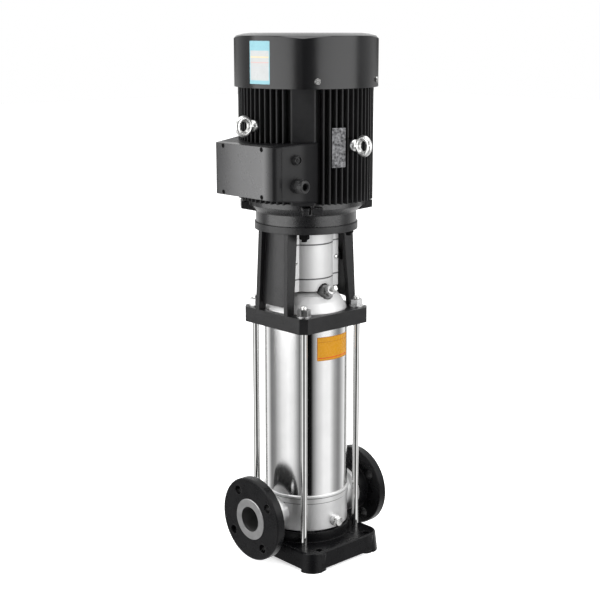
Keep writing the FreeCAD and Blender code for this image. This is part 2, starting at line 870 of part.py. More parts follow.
def motor_stool():
    c = plate_corner_chamfer
    h = plate_half
    outline = []
    for k in range(4):
        for x, y in ((h, h - c), (h - c, h)):
            point = V(x, y, 0)
            point = FreeCAD.Rotation(UP, 90 * k).multVec(point)
            outline.append((point.x, point.y))
    plate = prism(outline, plate_bottom, plate_top)
    uprights = [e for e in plate.Edges if abs(e.tangentAt(e.FirstParameter).z) > 0.9]
    plate = plate.makeFillet(plate_corner_r, uprights)
    ring_body = ring(motor_register_r + seat_gap, stool_ring_r, stool_ring_low, motor_face)
    pillar = stool_pillar()
    stool = fused(plate, ring_body, pillar, mirror_x(pillar))
    holes = [rod(staybolt_hole_r, plate_bottom - overrun, plate_top + overrun, x, y)
             for x, y in corners(staybolt_offset, staybolt_offset)]
    bolt_hole = rod(motor_bolt_r + 0.5, stool_ring_low - overrun, motor_face + overrun, motor_bolt_circle_r)
    holes += around(bolt_hole, diagonals())
    head_bore = fused(rod(plate_head_bore_r, plate_bottom - overrun, plate_top + overrun),
                      rod(plate_recess_r, plate_bottom - overrun, plate_recess_top))
    screw_hole = guard_screw_hole()
    return cut(stool, head_bore, *holes, *screw_hole)


def guard_screw_places():
    """Screw positions on the guard flanges, each with the way its head faces."""
    y = guard_flange_y
    return [(V(x, side * y, guard_screw_height), V(0, side, 0))
            for side in (-1, 1) for x in (-guard_screw_x, guard_screw_x)]


def guard_screw_hole():
    depth = guard_lug_depth - 1
    return [aimed(rod(guard_screw_r + seat_gap, -depth, overrun), place, way)
            for place, way in guard_screw_places()]


def guard_screws():
    depth = guard_lug_depth - 2
    screw = fused(rod(guard_screw_r, -depth, 0), rod(guard_screw_head_r, 0, guard_screw_head_length))
    return [aimed(screw, place, way) for place, way in guard_screw_places()]


def coupling_guard():
    """Front guard without its vent opening: a bowed sheet with a flat flange on each side."""
    high = stool_ring_low - body_gap
    inner_r = guard_r - guard_sheet
    lug_y = guard_flange_y - guard_sheet
    bow = cut(ring(inner_r, guard_r, guard_low, high),
              block((-guard_r, guard_r), (-lug_y, guard_r), (0, motor_face)))
    bend_x = math.sqrt(guard_r ** 2 - guard_flange_y ** 2) - guard_sheet
    flange = block((bend_x, guard_flange_end), (-guard_flange_y, -lug_y), (guard_low, high))
    half = guard_groove_half_height
    behind = block((-stool_ring_r, stool_ring_r), (-guard_flange_y, stool_ring_r), (0, motor_face))
    wide = half + guard_groove
    ridges = [cut(ring(inner_r - guard_groove, guard_r, z - wide, z + wide), behind)
              for z in guard_groove_heights]
    grooves = [cut(ring(guard_r - guard_groove, guard_r + overrun, z - half, z + half), behind)
               for z in guard_groove_heights]
    guard = cut(fused(bow, flange, mirror_x(flange), *ridges), *grooves)
    holes = [aimed(rod(guard_screw_r + seat_gap, -10, overrun), place, way)
             for place, way in guard_screw_places()]
    return cut(guard, *holes)


def front_guard():
    opening = aimed(rod(guard_vent_r, -vent_boss_root - 12, vent_reach), vent_mouth(), vent_direction())
    return cut(coupling_guard(), opening)


def rear_guard():
    return mirror_y(coupling_guard())


def staybolts():
    high = plate_top + washer_thickness + nut_height + staybolt_tip
    return [rod(staybolt_r, staybolt_end, high, x, y) for x, y in corners(staybolt_offset, staybolt_offset)]


def staybolt_washers():
    washer = ring(staybolt_r + seat_gap, washer_r, plate_top, plate_top + washer_thickness)
    return [moved(washer, x, y) for x, y in corners(staybolt_offset, staybolt_offset)]


def staybolt_nuts():
    """Nuts with a chamfered top, the front and rear ones turned alike and the side ones by a sixth more."""
    low = plate_top + washer_thickness
    high = low + nut_height
    corner_r = nut_flats / math.sqrt(3)
    dome = turned((0, low), (corner_r, low), (corner_r, high - nut_chamfer),
                  (corner_r - 2 * nut_chamfer, high), (0, high))
    nut = hexagon(nut_flats, low, high).common(dome)
    nut = cut(nut, rod(staybolt_r + seat_gap, low - overrun, high + overrun))
    return [moved(turn(nut, front_nut_turn if x * y > 0 else side_nut_turn), x, y)
            for x, y in corners(staybolt_offset, staybolt_offset)]


def coupling_bores():
    pump_side = rod(pump_shaft_r, coupling_low - overrun, motor_shaft_low - coupling_gap)
    relief = rod(motor_shaft_r + 1, motor_shaft_low - coupling_gap, motor_shaft_low)
    motor_side = rod(motor_shaft_r, motor_shaft_low, coupling_high + overrun)
    return [pump_side, relief, motor_side]


def coupling_screw_axes():
    return [V(0, side * coupling_screw_y, coupling_low + z) for side in (-1, 1) for z in coupling_screw_rows]


def coupling_right():
    """Half shell on the discharge side, split from the other half on the plane of the ports' cross axis."""
    shell = turned((0, coupling_low), (coupling_r - 2, coupling_low), (coupling_r, coupling_low + 2),
                   (coupling_r, coupling_high - 2), (coupling_r - 2, coupling_high), (0, coupling_high))
    other = block((-coupling_r, coupling_gap / 2), (-coupling_r, coupling_r), (coupling_low, coupling_high))
    half = cut(shell, other)
    tools = coupling_bores()
    seat_x = math.sqrt(coupling_r ** 2 - (coupling_screw_y + coupling_head_r) ** 2) - 1
    for place in coupling_screw_axes():
        tools.append(aimed(rod(coupling_screw_r, 0, coupling_r), place, V(1, 0, 0)))
        tools.append(aimed(rod(coupling_head_r + 0.5, seat_x, coupling_r), place, V(1, 0, 0)))
    pin = aimed(rod(coupling_pin_r, -coupling_r, coupling_r),
                V(0, 0, coupling_low + coupling_pin_height), V(0, 1, 0))
    return cut(half, *tools, pin)


def coupling_left():
    return mirror_x(coupling_right())


def coupling_screws():
    seat_x = math.sqrt(coupling_r ** 2 - (coupling_screw_y + coupling_head_r) ** 2) - 1
    screw = fused(rod(coupling_screw_r, -seat_x, seat_x),
                  rod(coupling_head_r, seat_x, seat_x + coupling_head_length))
    return [aimed(screw, place, V(1, 0, 0)) for place in coupling_screw_axes()]


def coupling_pin():
    reach = pump_shaft_r + 6
    return aimed(rod(coupling_pin_r, -reach, reach), V(0, 0, coupling_low + coupling_pin_height), V(0, 1, 0))


def motor_bolts():
    head_top = stool_ring_low - motor_washer_thickness
    shank = rod(motor_bolt_r, stool_ring_low, motor_face + motor_bolt_depth - 1)
    bolt = fused(shank, rod(motor_washer_r, head_top, stool_ring_low),
                 hexagon(motor_bolt_flats, head_top - motor_bolt_head, head_top))
    return around(moved(bolt, motor_bolt_circle_r), diagonals())


def lug_angles():
    return even_angles(4, quarter_turn / 2 + lug_turn)


def shield_lug():
    root = motor_flange_r - shield_wall / 2
    outline = [V(root, -lug_half_width, lug_root_low), V(lug_reach, -lug_half_width, lug_low),
               V(lug_reach, -lug_half_width, lug_high), V(root, -lug_half_width, lug_high)]
    lug = Part.Face(Part.makePolygon(outline + outline[:1])).extrude(V(0, 2 * lug_half_width, 0))
    slot = block((shield_bolt_radius + lug_hole_r, lug_reach + overrun),
                 (lug_slot_y - lug_slot_half, lug_slot_y + lug_slot_half), (0, frame_high))
    hole = rod(lug_hole_r, lug_root_low - overrun, lug_high + overrun, shield_bolt_radius)
    sink = rod(lug_sink_r, lug_root_low - overrun, lug_low + lug_sink, shield_bolt_radius)
    return cut(lug, slot, hole, sink)


def lower_end_shield():
    wall = shield_wall
    flange_top = motor_face + shield_flange_height
    housing_r = bearing_lower_r + wall
    rim_low = frame_low - shield_rim_height
    seat = bearing_lower_z + bearing_lower_width
    shaft_hole = journal_r + 1
    shell = turned((shaft_hole, motor_face - motor_register_height),
                   (motor_register_r, motor_face - motor_register_height), (motor_register_r, motor_face),
                   (motor_flange_r, motor_face), (motor_flange_r, flange_top),
                   (shield_rim_r, rim_low + 3), (shield_rim_r, frame_low),
                   (frame_bore_r, frame_low), (frame_bore_r - wall, rim_low),
                   (housing_r, flange_top - 4), (housing_r, seat + 1), (bearing_lower_r, seat + 1),
                   (bearing_lower_r, bearing_lower_z), (shaft_hole, bearing_lower_z))
    bolt_hole = rod(motor_bolt_r + seat_gap, motor_face - overrun, motor_face + motor_bolt_depth,
                    motor_bolt_circle_r)
    shield = fused(shell, *around(shield_lug(), lug_angles()))
    return cut(shield, *around(bolt_hole, diagonals()))


def frame_outline():
    """Outline of the finned frame: root circle, radial fins and a flat pad on each diagonal."""
    points = []
    for angle in even_angles(fin_count):
        off_diagonal = abs((angle % 90) - 45)
        if off_diagonal < 1:
            root_x = math.sqrt(frame_root_r ** 2 - pad_half_width ** 2)
            flat = pad_half_width - pad_chamfer
            side = frame_fin_r - pad_chamfer
            local = [(root_x, -pad_half_width), (side, -pad_half_width), (frame_fin_r, -flat),
                     (frame_fin_r, flat), (side, pad_half_width), (root_x, pad_half_width)]
        elif off_diagonal < pad_skip:
            continue
        else:
            local = [(frame_root_r, -fin_root_half), (frame_fin_r, -fin_tip_half),
                     (frame_fin_r, fin_tip_half), (frame_root_r, fin_root_half)]
        along = V(*polar(1, angle), 0)
        across = V(*polar(1, angle + 90), 0)
        for radial, tangential in local:
            point = along * radial + across * tangential
            points.append((point.x, point.y))
    return points


def frame_core(low, high):
    """Root cylinder with its four pads, which the terminal box sits on."""
    pads = around(block((0, frame_fin_r), (-pad_half_width, pad_half_width), (low, high)), diagonals())
    return fused(rod(frame_root_r + 0.05, low, high), *pads)


def box_shape(front, half_y, half_z, back, back_half_y, back_half_z, r):
    """Tapered block on the suction side from front to back, both distances from the shaft."""
    loft = rounded_loft((back_half_z, back_half_y, r, back), (half_z, half_y, r, front))
    return aimed(loft, V(0, 0, box_height), V(-1, 0, 0))


def box_seam_half():
    return box_front_half_y + box_lid_draft, box_front_half_z + box_lid_draft


def terminal_box_envelope():
    half_y, half_z = box_seam_half()
    return box_shape(box_seam, half_y, half_z, box_back, box_back_half_y, box_back_half_z, box_corner_r)


def eye_places():
    """Lifting eyes: foot on the frame, the way they point."""
    return [(V(0, 0, eye_suction_height), V(-1, 0, 0)), (V(0, 0, eye_front_height), V(0, -1, 0))]


def motor_frame():
    body = prism(frame_outline(), frame_low, frame_high)
    body = cut(body, rod(frame_bore_r, frame_low - overrun, frame_high + overrun))
    fin_room = cut(terminal_box_envelope(), frame_core(frame_low, frame_high))
    body = cut(body, fin_room)
    foot = frame_root_r - 3
    bosses = [aimed(rod(eye_boss_r, foot, frame_fin_r + 1), place, way) for place, way in eye_places()]
    body = fused(body, *bosses)
    eye_foot = frame_fin_r + 1 - eye_shank_depth
    holes = [aimed(rod(eye_shank_r + seat_gap, eye_foot - 1, frame_fin_r + 3), place, way)
             for place, way in eye_places()]
    depth = shield_bolt_depth
    for low, high in ((frame_low - overrun, frame_low + depth), (frame_high - depth, frame_high + overrun)):
        holes += around(rod(shield_bolt_r + seat_gap, low, high, shield_bolt_radius), lug_angles())
    return cut(body, *holes)


def shield_bolts():
    head = shield_bolt_head
    seat = lug_low + lug_sink
    lower = fused(rod(shield_bolt_r, seat, frame_low + shield_bolt_depth - 1),
                  rod(shield_bolt_sunk_r, seat - head, seat))
    top = upper_shield_low + upper_shield_thickness
    upper = fused(rod(shield_bolt_r, frame_high - shield_bolt_depth + 1, top),
                  hexagon(shield_bolt_flats, top, top + head))
    lower = around(moved(lower, shield_bolt_radius), lug_angles())
    return lower + around(moved(upper, shield_bolt_radius), lug_angles())


def cover_outline(inset, z):
    """Square with bowed sides, corners on the diagonals, drawn in by inset."""
    corner = cover_corner_r - inset
    face = cover_face_r - inset
    points = [V(*polar(corner, 45 + 90 * k), z) for k in range(4)]
    middles = [V(*polar(face, 90 + 90 * k), z) for k in range(4)]
    arcs = [Part.Arc(points[k], middles[k], points[(k + 1) % 4]).toShape() for k in range(4)]
    return Part.Face(Part.Wire(arcs))


def cover_solid(inset, low):
    """Bowed square prism under a crowned top."""
    column = cover_outline(inset, low).extrude(V(0, 0, cover_top - low + overrun))
    upright = [e for e in column.Edges if abs(e.tangentAt(e.FirstParameter).z) > 0.9]
    column = column.makeFillet(cover_corner_fillet - inset, upright)
    rim = cover_rim - inset
    top = cover_top - inset
    shoulder = top - (top - rim) * cover_shoulder_share
    crown = turned((0, low - overrun), (cover_corner_r + 5, low - overrun),
                   (cover_corner_r + 5, rim - cover_rim_round), (cover_corner_r, rim), (cover_face_r, shoulder),
                   (cover_crown_r + cover_crown_step, top - cover_crown_round),
                   (cover_crown_r, top), (0, top))
    return column.common(crown)


def grille_slots():
    half = grille_spoke / 2
    reach = cover_crown_r + grille_pitch
    span = (cover_top - 4 * cover_sheet, cover_top + overrun)
    spokes = [block((-reach, reach), (-half, half), span), block((-half, half), (-reach, reach), span)]
    slots = []
    for row in range(grille_rows):
        inner = grille_inner_r + row * grille_pitch
        slots.append(cut(ring(inner, inner + grille_slot, *span), *spokes))
    return slots


def cover_screw_angles():
    return [side + offset for side in (-90, 90) for offset in (-cover_screw_angle, cover_screw_angle)]


def cover_arc():
    """Centre distance and radius of the arc of one cover side."""
    half = cover_corner_r * math.sin(math.radians(45))
    rise = cover_face_r - cover_corner_r * math.cos(math.radians(45))
    r = (half ** 2 + rise ** 2) / (2 * rise)
    return cover_face_r - r, r


def cover_surface(offset):
    """Distance from the shaft to the cover's outside, offset degrees from the middle of a side."""
    centre, r = cover_arc()
    a = math.radians(offset)
    return centre * math.cos(a) + math.sqrt(r ** 2 - (centre * math.sin(a)) ** 2)


def fan_cover():
    shell = cut(cover_solid(0, cover_low), cover_solid(cover_sheet, cover_low - overrun))
    reach = cover_corner_r + overrun
    hole = rod(cover_screw_r + seat_gap, frame_bore_r, reach)
    foot = V(0, 0, cover_screw_height)
    holes = [aimed(hole, foot, V(*polar(1, angle), 0)) for angle in cover_screw_angles()]
    return cut(shell, *grille_slots(), *holes)


def cover_screws():
    outside = cover_surface(cover_screw_angle)
    screw = fused(rod(cover_screw_r, outside - 12, outside + 1),
                  rod(cover_screw_head_r, outside + 0.5, outside + cover_screw_head_length))
    foot = V(0, 0, cover_screw_height)
    return [aimed(screw, foot, V(*polar(1, angle), 0)) for angle in cover_screw_angles()]


def upper_end_shield():
    low = upper_shield_low
    top = low + upper_shield_thickness
    housing_r = bearing_upper_r + shield_wall
    seat = bearing_upper_z + bearing_upper_width
    shaft_hole = journal_r + 1
    disc = turned((bearing_upper_r, low), (upper_shield_r, low), (upper_shield_r, top),
                  (housing_r + 6, top), (housing_r, top + 3), (housing_r, seat + 3), (shaft_hole, seat + 3),
                  (shaft_hole, seat), (bearing_upper_r, seat))
    inside = cover_surface(cover_screw_angle) - cover_sheet
    half = cover_ear_half_width
    ear = block((frame_bore_r, cover_corner_r), (-half, half), (low, top))
    cover_room = cover_outline(cover_sheet + seat_gap, low).extrude(V(0, 0, upper_shield_thickness))
    ears = [e.common(cover_room) for e in around(ear, cover_screw_angles())]
    shield = fused(disc, *ears)
    bolt_hole = rod(shield_bolt_r + seat_gap, low - overrun, top + overrun, shield_bolt_radius)
    bolt_holes = around(bolt_hole, lug_angles())
    screw_hole = rod(cover_screw_r + seat_gap, inside - 14, inside + overrun)
    screw_holes = [aimed(screw_hole, V(0, 0, cover_screw_height), V(*polar(1, angle), 0))
                   for angle in cover_screw_angles()]
    return cut(shield, *bolt_holes, *screw_holes)


def bearing_outer(low, outer_r, width):
    """Outer ring with the two shields that close it."""
    inner = journal_r + bearing_ring + bearing_gap
    race = outer_r - bearing_ring
    return turned((inner, low), (outer_r, low), (outer_r, low + width), (inner, low + width),
                  (inner, low + width - bearing_shield), (race, low + width - bearing_shield),
                  (race, low + bearing_shield), (inner, low + bearing_shield))


def bearing_outer_rings():
    return [bearing_outer(bearing_lower_z, bearing_lower_r, bearing_lower_width),
            bearing_outer(bearing_upper_z, bearing_upper_r, bearing_upper_width)]


def bearing_inner_rings():
    outer = journal_r + bearing_ring
    return [ring(journal_r, outer, bearing_lower_z, bearing_lower_z + bearing_lower_width),
            ring(journal_r, outer, bearing_upper_z, bearing_upper_z + bearing_upper_width)]


def motor_shaft():
    fan_top = fan_low + fan_blade_height
    inner_low = bearing_lower_z - 12
    inner_high = bearing_upper_z + bearing_upper_width + 2
    return turned((0, motor_shaft_low), (motor_shaft_r - 1, motor_shaft_low), (motor_shaft_r, motor_shaft_low + 1),
                  (motor_shaft_r, inner_low), (journal_r, inner_low), (journal_r, inner_high),
                  (motor_shaft_r, inner_high), (motor_shaft_r, fan_top), (0, fan_top))


def rotor_core():
    return ring(journal_r, rotor_r, core_low, core_high)


def stator_core():
    return ring(rotor_r + air_gap, frame_bore_r, core_low, core_high)


def stator_windings():
    bundle = turned((winding_inner_r, core_high), (winding_outer_r, core_high),
                    (winding_outer_r - winding_round, core_high + winding_height),
                    (winding_inner_r + winding_round, core_high + winding_height))
    lower = bundle.mirror(V(0, 0, (core_low + core_high) / 2), UP)
    return [lower, bundle]


def fan():
    """Radial fan: hub, dished disc and straight blades."""
    disc_top = fan_low + fan_disc
    top = fan_low + fan_blade_height
    hub = turned((motor_shaft_r, fan_low), (fan_r, fan_low), (fan_r, disc_top), (fan_hub_r, disc_top),
                 (fan_hub_r - 3, top), (motor_shaft_r, top))
    half = fan_blade / 2
    outline = [V(fan_hub_r - 4, -half, fan_low + 1), V(fan_r, -half, fan_low + 1), V(fan_r, -half, top - 8),
               V(fan_blade_low_r, -half, top), V(fan_hub_r - 4, -half, top - 14)]
    blade = Part.Face(Part.makePolygon(outline + outline[:1])).extrude(V(0, fan_blade, 0))
    return fused(hub, *around(blade, even_angles(fan_blade_count)))


def suction_eye():
    """Eye bolt on the suction side, its ring upright, at height 0."""
    seat = frame_fin_r + 1
    ring_low = eye_reach - eye_ring_r
    torus = Part.makeTorus(eye_ring_r, eye_wire_r, V(0, 0, eye_reach), V(0, 1, 0))
    collar = turned((0, seat), (eye_collar_r, seat), (eye_collar_r, seat + eye_collar_length),
                    (eye_wire_r, seat + eye_collar_length + 1), (eye_wire_r, ring_low), (0, ring_low))
    shank = rod(eye_shank_r, seat - eye_shank_depth, seat)
    return aimed(fused(torus, collar, shank), ORIGIN, V(-1, 0, 0))


def eye_bolts():
    eye = suction_eye()
    return [moved(eye, z=eye_suction_height), moved(turn(eye, 90), z=eye_front_height)]


def gland_axis():
    return V(gland_x, 0, gland_height), V(0, -1, 0)


def plug_axis():
    return V(plug_x, 0, plug_height), V(0, -1, 0)


def lid_screw_places():
    return [V(0, y, box_height + side * lid_screw_half_z)
            for y in (lid_screw_rear_y, -lid_screw_front_y) for side in (-1, 1)]


def terminal_box():
    envelope = terminal_box_envelope()
    half_y, half_z = box_seam_half()
    inner_y = half_y - box_wall
    inner_z = half_z - box_wall
    cavity = box_shape(box_seam + overrun, inner_y, inner_z, box_floor, inner_y, inner_z, box_inner_r)
    box = cut(envelope, cavity)
    posts = [aimed(rod(lid_screw_head_r + lid_post_wall, box_floor - 2, box_seam), place, V(-1, 0, 0))
             .common(envelope) for place in lid_screw_places()]
    reach = wall_boss_reach
    wall_bosses = [aimed(rod(gland_body_r + 1, inner_y - 1, reach), *gland_axis()),
                   aimed(rod(plug_r + 1, inner_y - 1, reach), *plug_axis())]
    box = fused(box, *posts, *wall_bosses)
    holes = [aimed(rod(lid_screw_r + seat_gap, box_seam - lid_screw_depth, box_seam + 1), place, V(-1, 0, 0))
             for place in lid_screw_places()]
    run = inner_y - box_hole_run
    holes.append(aimed(rod(gland_thread_r + seat_gap, run, reach + 1), *gland_axis()))
    holes.append(aimed(rod(plug_thread_r + seat_gap, run, reach + 1), *plug_axis()))
    core = frame_core(frame_low, frame_high)
    return cut(box, core, *holes)


def lid_round(inset):
    """Upright block whose two front edges are rounded, drawn in by inset all round but the back."""
    front = inset - box_front
    half_y = box_front_half_y + box_lid_draft - inset
    half_z = box_back_half_z
    solid = block((front, -box_floor), (-half_y, half_y), (box_height - half_z, box_height + half_z))
    front_edges = [e for e in solid.Edges if all(abs(v.X - front) < inset_tolerance for v in e.Vertexes)
                   and abs(e.tangentAt(e.FirstParameter).z) > 0.9]
    return solid.makeFillet(box_front_round - inset, front_edges)


def terminal_box_lid():
    half_y, half_z = box_seam_half()
    lid = box_shape(box_front, box_front_half_y, box_front_half_z, box_seam, half_y, half_z, box_corner_r)
    lid = lid.common(lid_round(0.0))
    inner_y = box_front_half_y - box_wall
    inner_z = box_front_half_z - box_wall
    hollow = box_shape(box_front - box_wall, inner_y, inner_z, box_seam - overrun, inner_y, inner_z,
                       box_inner_r)
    hollow = hollow.common(lid_round(box_wall))
    post = rod(lid_screw_head_r + lid_post_wall, box_seam, box_front - 1)
    posts = [aimed(post, place, V(-1, 0, 0)).common(lid) for place in lid_screw_places()]
    lid = fused(cut(lid, hollow), *posts)
    sink = box_front - lid_screw_sink
    holes = [fused(aimed(rod(lid_screw_r + seat_gap, box_seam - 1, box_front), place, V(-1, 0, 0)),
                   aimed(rod(lid_screw_head_r + seat_gap, sink, box_front + 1), place, V(-1, 0, 0)))
             for place in lid_screw_places()]
    return cut(lid, *holes)


def lid_screws():
    sink = box_front - lid_screw_sink
    screw = fused(rod(lid_screw_r, box_seam - lid_screw_depth + 1, sink),
                  rod(lid_screw_head_r, sink, box_front - 0.5))
    return [aimed(screw, place, V(-1, 0, 0)) for place in lid_screw_places()]


def terminal_block():
    """Insulating block with six studs, standing on the box floor."""
    low = box_floor
    high = box_floor + terminal_block_x
    body = block((-terminal_block_half_z, terminal_block_half_z),
                 (-terminal_block_half_y, terminal_block_half_y), (low, high))
    step_y = terminal_block_half_y * 0.65
    step_z = terminal_block_half_z * 0.5
    studs = [rod(terminal_stud_r, high - 1, high + terminal_stud_height, x, y)
             for x in (-step_z, step_z) for y in (-step_y, 0, step_y)]
    return aimed(fused(body, *studs), V(0, 0, box_height), V(-1, 0, 0))


def cable_gland():
    reach = wall_boss_reach
    half_y, half_z = box_seam_half()
    inner = half_y - box_wall - thread_past_wall
    nut_high = reach + gland_nut_length
    body = turned((gland_hole_r, inner), (gland_thread_r, inner), (gland_thread_r, reach),
                  (gland_body_r, reach), (gland_body_r, gland_reach - gland_dome),
                  (gland_body_r - gland_dome, gland_reach), (gland_hole_r, gland_reach))
    nut = cut(hexagon(gland_nut_flats, reach, nut_high), rod(gland_hole_r, 0, nut_high + 1))
    return aimed(fused(body, nut), *gland_axis())


def blanking_plug():
    reach = wall_boss_reach
    half_y, half_z = box_seam_half()
    inner = half_y - box_wall - thread_past_wall
    high = reach + plug_proud
    plug = turned((0, inner), (plug_thread_r, inner), (plug_thread_r, reach), (plug_r, reach),
                  (plug_r, high - plug_edge), (plug_r - plug_edge, high), (0, high))
    return aimed(plug, *plug_axis())


def nameplate():
    outer = frame_fin_r + nameplate_thickness
    plate = block((frame_fin_r, outer), (-nameplate_half_width, nameplate_half_width),
                  (nameplate_low, nameplate_high))
    return turn(plate, nameplate_angle)


PARTS = {
    "base_plate": base_plate, "base_chamber": base_chamber, "port_rings": port_rings,
    "suction_flange": suction_flange, "discharge_flange": discharge_flange, "drain_plug": drain_plug,
    "outer_sleeve": outer_sleeve, "sleeve_seals": sleeve_seals, "stage_chambers": stage_chambers,
    "wear_rings": wear_rings, "shaft_bushes": shaft_bushes, "top_chamber": top_chamber,
    "impellers": impellers, "impeller_spacers": impeller_spacers, "pump_shaft": pump_shaft,
    "shaft_nut": shaft_nut, "pump_head": pump_head, "vent_plug": vent_plug, "vent_screw": vent_screw,
    "seal_seat": seal_seat, "seal_ring": seal_ring, "motor_stool": motor_stool, "staybolts": staybolts,
    "staybolt_washers": staybolt_washers, "staybolt_nuts": staybolt_nuts, "front_guard": front_guard,
    "rear_guard": rear_guard, "guard_screws": guard_screws, "coupling_left": coupling_left,
    "coupling_right": coupling_right, "coupling_screws": coupling_screws, "coupling_pin": coupling_pin,
    "motor_bolts": motor_bolts, "lower_end_shield": lower_end_shield, "motor_frame": motor_frame,
    "shield_bolts": shield_bolts, "upper_end_shield": upper_end_shield, "stator_core": stator_core,
    "stator_windings": stator_windings, "motor_shaft": motor_shaft, "rotor_core": rotor_core,
    "bearing_outer_rings": bearing_outer_rings, "bearing_inner_rings": bearing_inner_rings, "fan": fan,
    "fan_cover": fan_cover, "fan_cover_screws": cover_screws, "eye_bolts": eye_bolts,
    "terminal_box": terminal_box, "terminal_box_lid": terminal_box_lid, "lid_screws": lid_screws,
    "terminal_block": terminal_block, "cable_gland": cable_gland, "blanking_plug": blanking_plug,
    "nameplate": nameplate,
}

os.makedirs("parts", exist_ok=True)
for node, make in PARTS.items():
    made = make()
    shape = Part.makeCompound(made) if isinstance(made, list) else made
    if not shape.isValid():
        print("not valid:", node)
    shape.exportStep("parts/" + node + ".step")
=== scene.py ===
import math

import bmesh
import bpy
from mathutils import Matrix, Vector


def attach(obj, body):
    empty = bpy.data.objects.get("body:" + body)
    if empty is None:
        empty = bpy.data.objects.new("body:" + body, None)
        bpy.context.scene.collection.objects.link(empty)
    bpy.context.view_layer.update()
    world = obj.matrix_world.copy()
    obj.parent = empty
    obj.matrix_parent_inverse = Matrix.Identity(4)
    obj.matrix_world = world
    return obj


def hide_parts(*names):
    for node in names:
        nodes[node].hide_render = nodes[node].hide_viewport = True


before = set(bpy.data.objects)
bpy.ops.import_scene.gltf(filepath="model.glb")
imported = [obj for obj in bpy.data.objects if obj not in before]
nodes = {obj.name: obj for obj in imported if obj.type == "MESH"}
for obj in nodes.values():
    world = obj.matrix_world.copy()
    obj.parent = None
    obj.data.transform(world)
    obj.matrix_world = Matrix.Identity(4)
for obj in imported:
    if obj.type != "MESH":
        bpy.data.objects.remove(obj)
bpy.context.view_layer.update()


# Studio: a pale paper floor, three soft lamps and a light tent of painted strips.
# The strips stand round the pump and draw the bands in the polished steel. The black one is behind the camera.
# The camera stands in front of the corner between the suction side and the plug side, looking a little down.
camera_side = 227.4


def grey(light):
    """Grey of one lightness, as a colour socket takes it."""
    return light, light, light, 1


def wire(tree, given, socket):
    """Feeds a socket from another node's output, or sets it to a plain value."""
    if isinstance(given, bpy.types.NodeSocket):
        tree.links.new(given, socket)
    else:
        socket.default_value = given


def point(tree, space="Object"):
    """The shaded point in metres, or with "Generated" the direction that the tent is seen in."""
    return tree.nodes.new("ShaderNodeTexCoord").outputs[space]


def along(tree, axis, space="Object"):
    """How far the point lies along one axis."""
    apart = tree.nodes.new("ShaderNodeSeparateXYZ")
    tree.links.new(point(tree, space), apart.inputs["Vector"])
    return apart.outputs[axis]


def ranged(tree, given, low, high, start=0.0, end=1.0):
    """Start where the given value is low, end where it is high, and in step between them."""
    spread = tree.nodes.new("ShaderNodeMapRange")
    for name, value in (("Value", given), ("From Min", low), ("From Max", high),
                        ("To Min", start), ("To Max", end)):
        wire(tree, value, spread.inputs[name])
    return spread.outputs["Result"]


def mixed(tree, share, first, second):
    """The first colour where share is 0, the second where it is 1."""
    blend = tree.nodes.new("ShaderNodeMix")
    blend.data_type = "RGBA"
    for name, value in (("Factor", share), ("A", first), ("B", second)):
        wire(tree, value, blend.inputs[name])
    return blend.outputs["Result"]


def banded(tree, share, stops, interpolation="LINEAR"):
    """Colours along a ramp: each stop is (share, colour)."""
    bands = tree.nodes.new("ShaderNodeValToRGB")
    bands.color_ramp.interpolation = interpolation
    band = bands.color_ramp.elements
    band[0].position, band[0].color = stops[0]
    band[1].position, band[1].color = stops[-1]
    for at, colour in stops[1:-1]:
        band.new(at).color = colour
    tree.links.new(share, bands.inputs["Fac"])
    return bands.outputs["Color"]


def light_strips(tree, stops):
    """Upright strips round the pump: each stop is (degrees from the camera, light)."""
    turn = tree.nodes.new("ShaderNodeMapping")
    turn.inputs["Rotation"].default_value = (0, 0, math.radians(-camera_side))
    round_about = tree.nodes.new("ShaderNodeTexGradient")
    round_about.gradient_type = "RADIAL"
    tree.links.new(point(tree, "Generated"), turn.inputs["Vector"])
    tree.links.new(turn.outputs["Vector"], round_about.inputs["Vector"])
    stops = [(angle / 360 + 0.5, grey(light)) for angle, light in stops]
    return banded(tree, round_about.outputs["Fac"], stops)


def by_height(tree, low, high, lower, upper):
    """Goes from the lower colour to the upper one between two heights of the direction."""
    return mixed(tree, ranged(tree, along(tree, "Z", "Generated"), low, high), lower, upper)


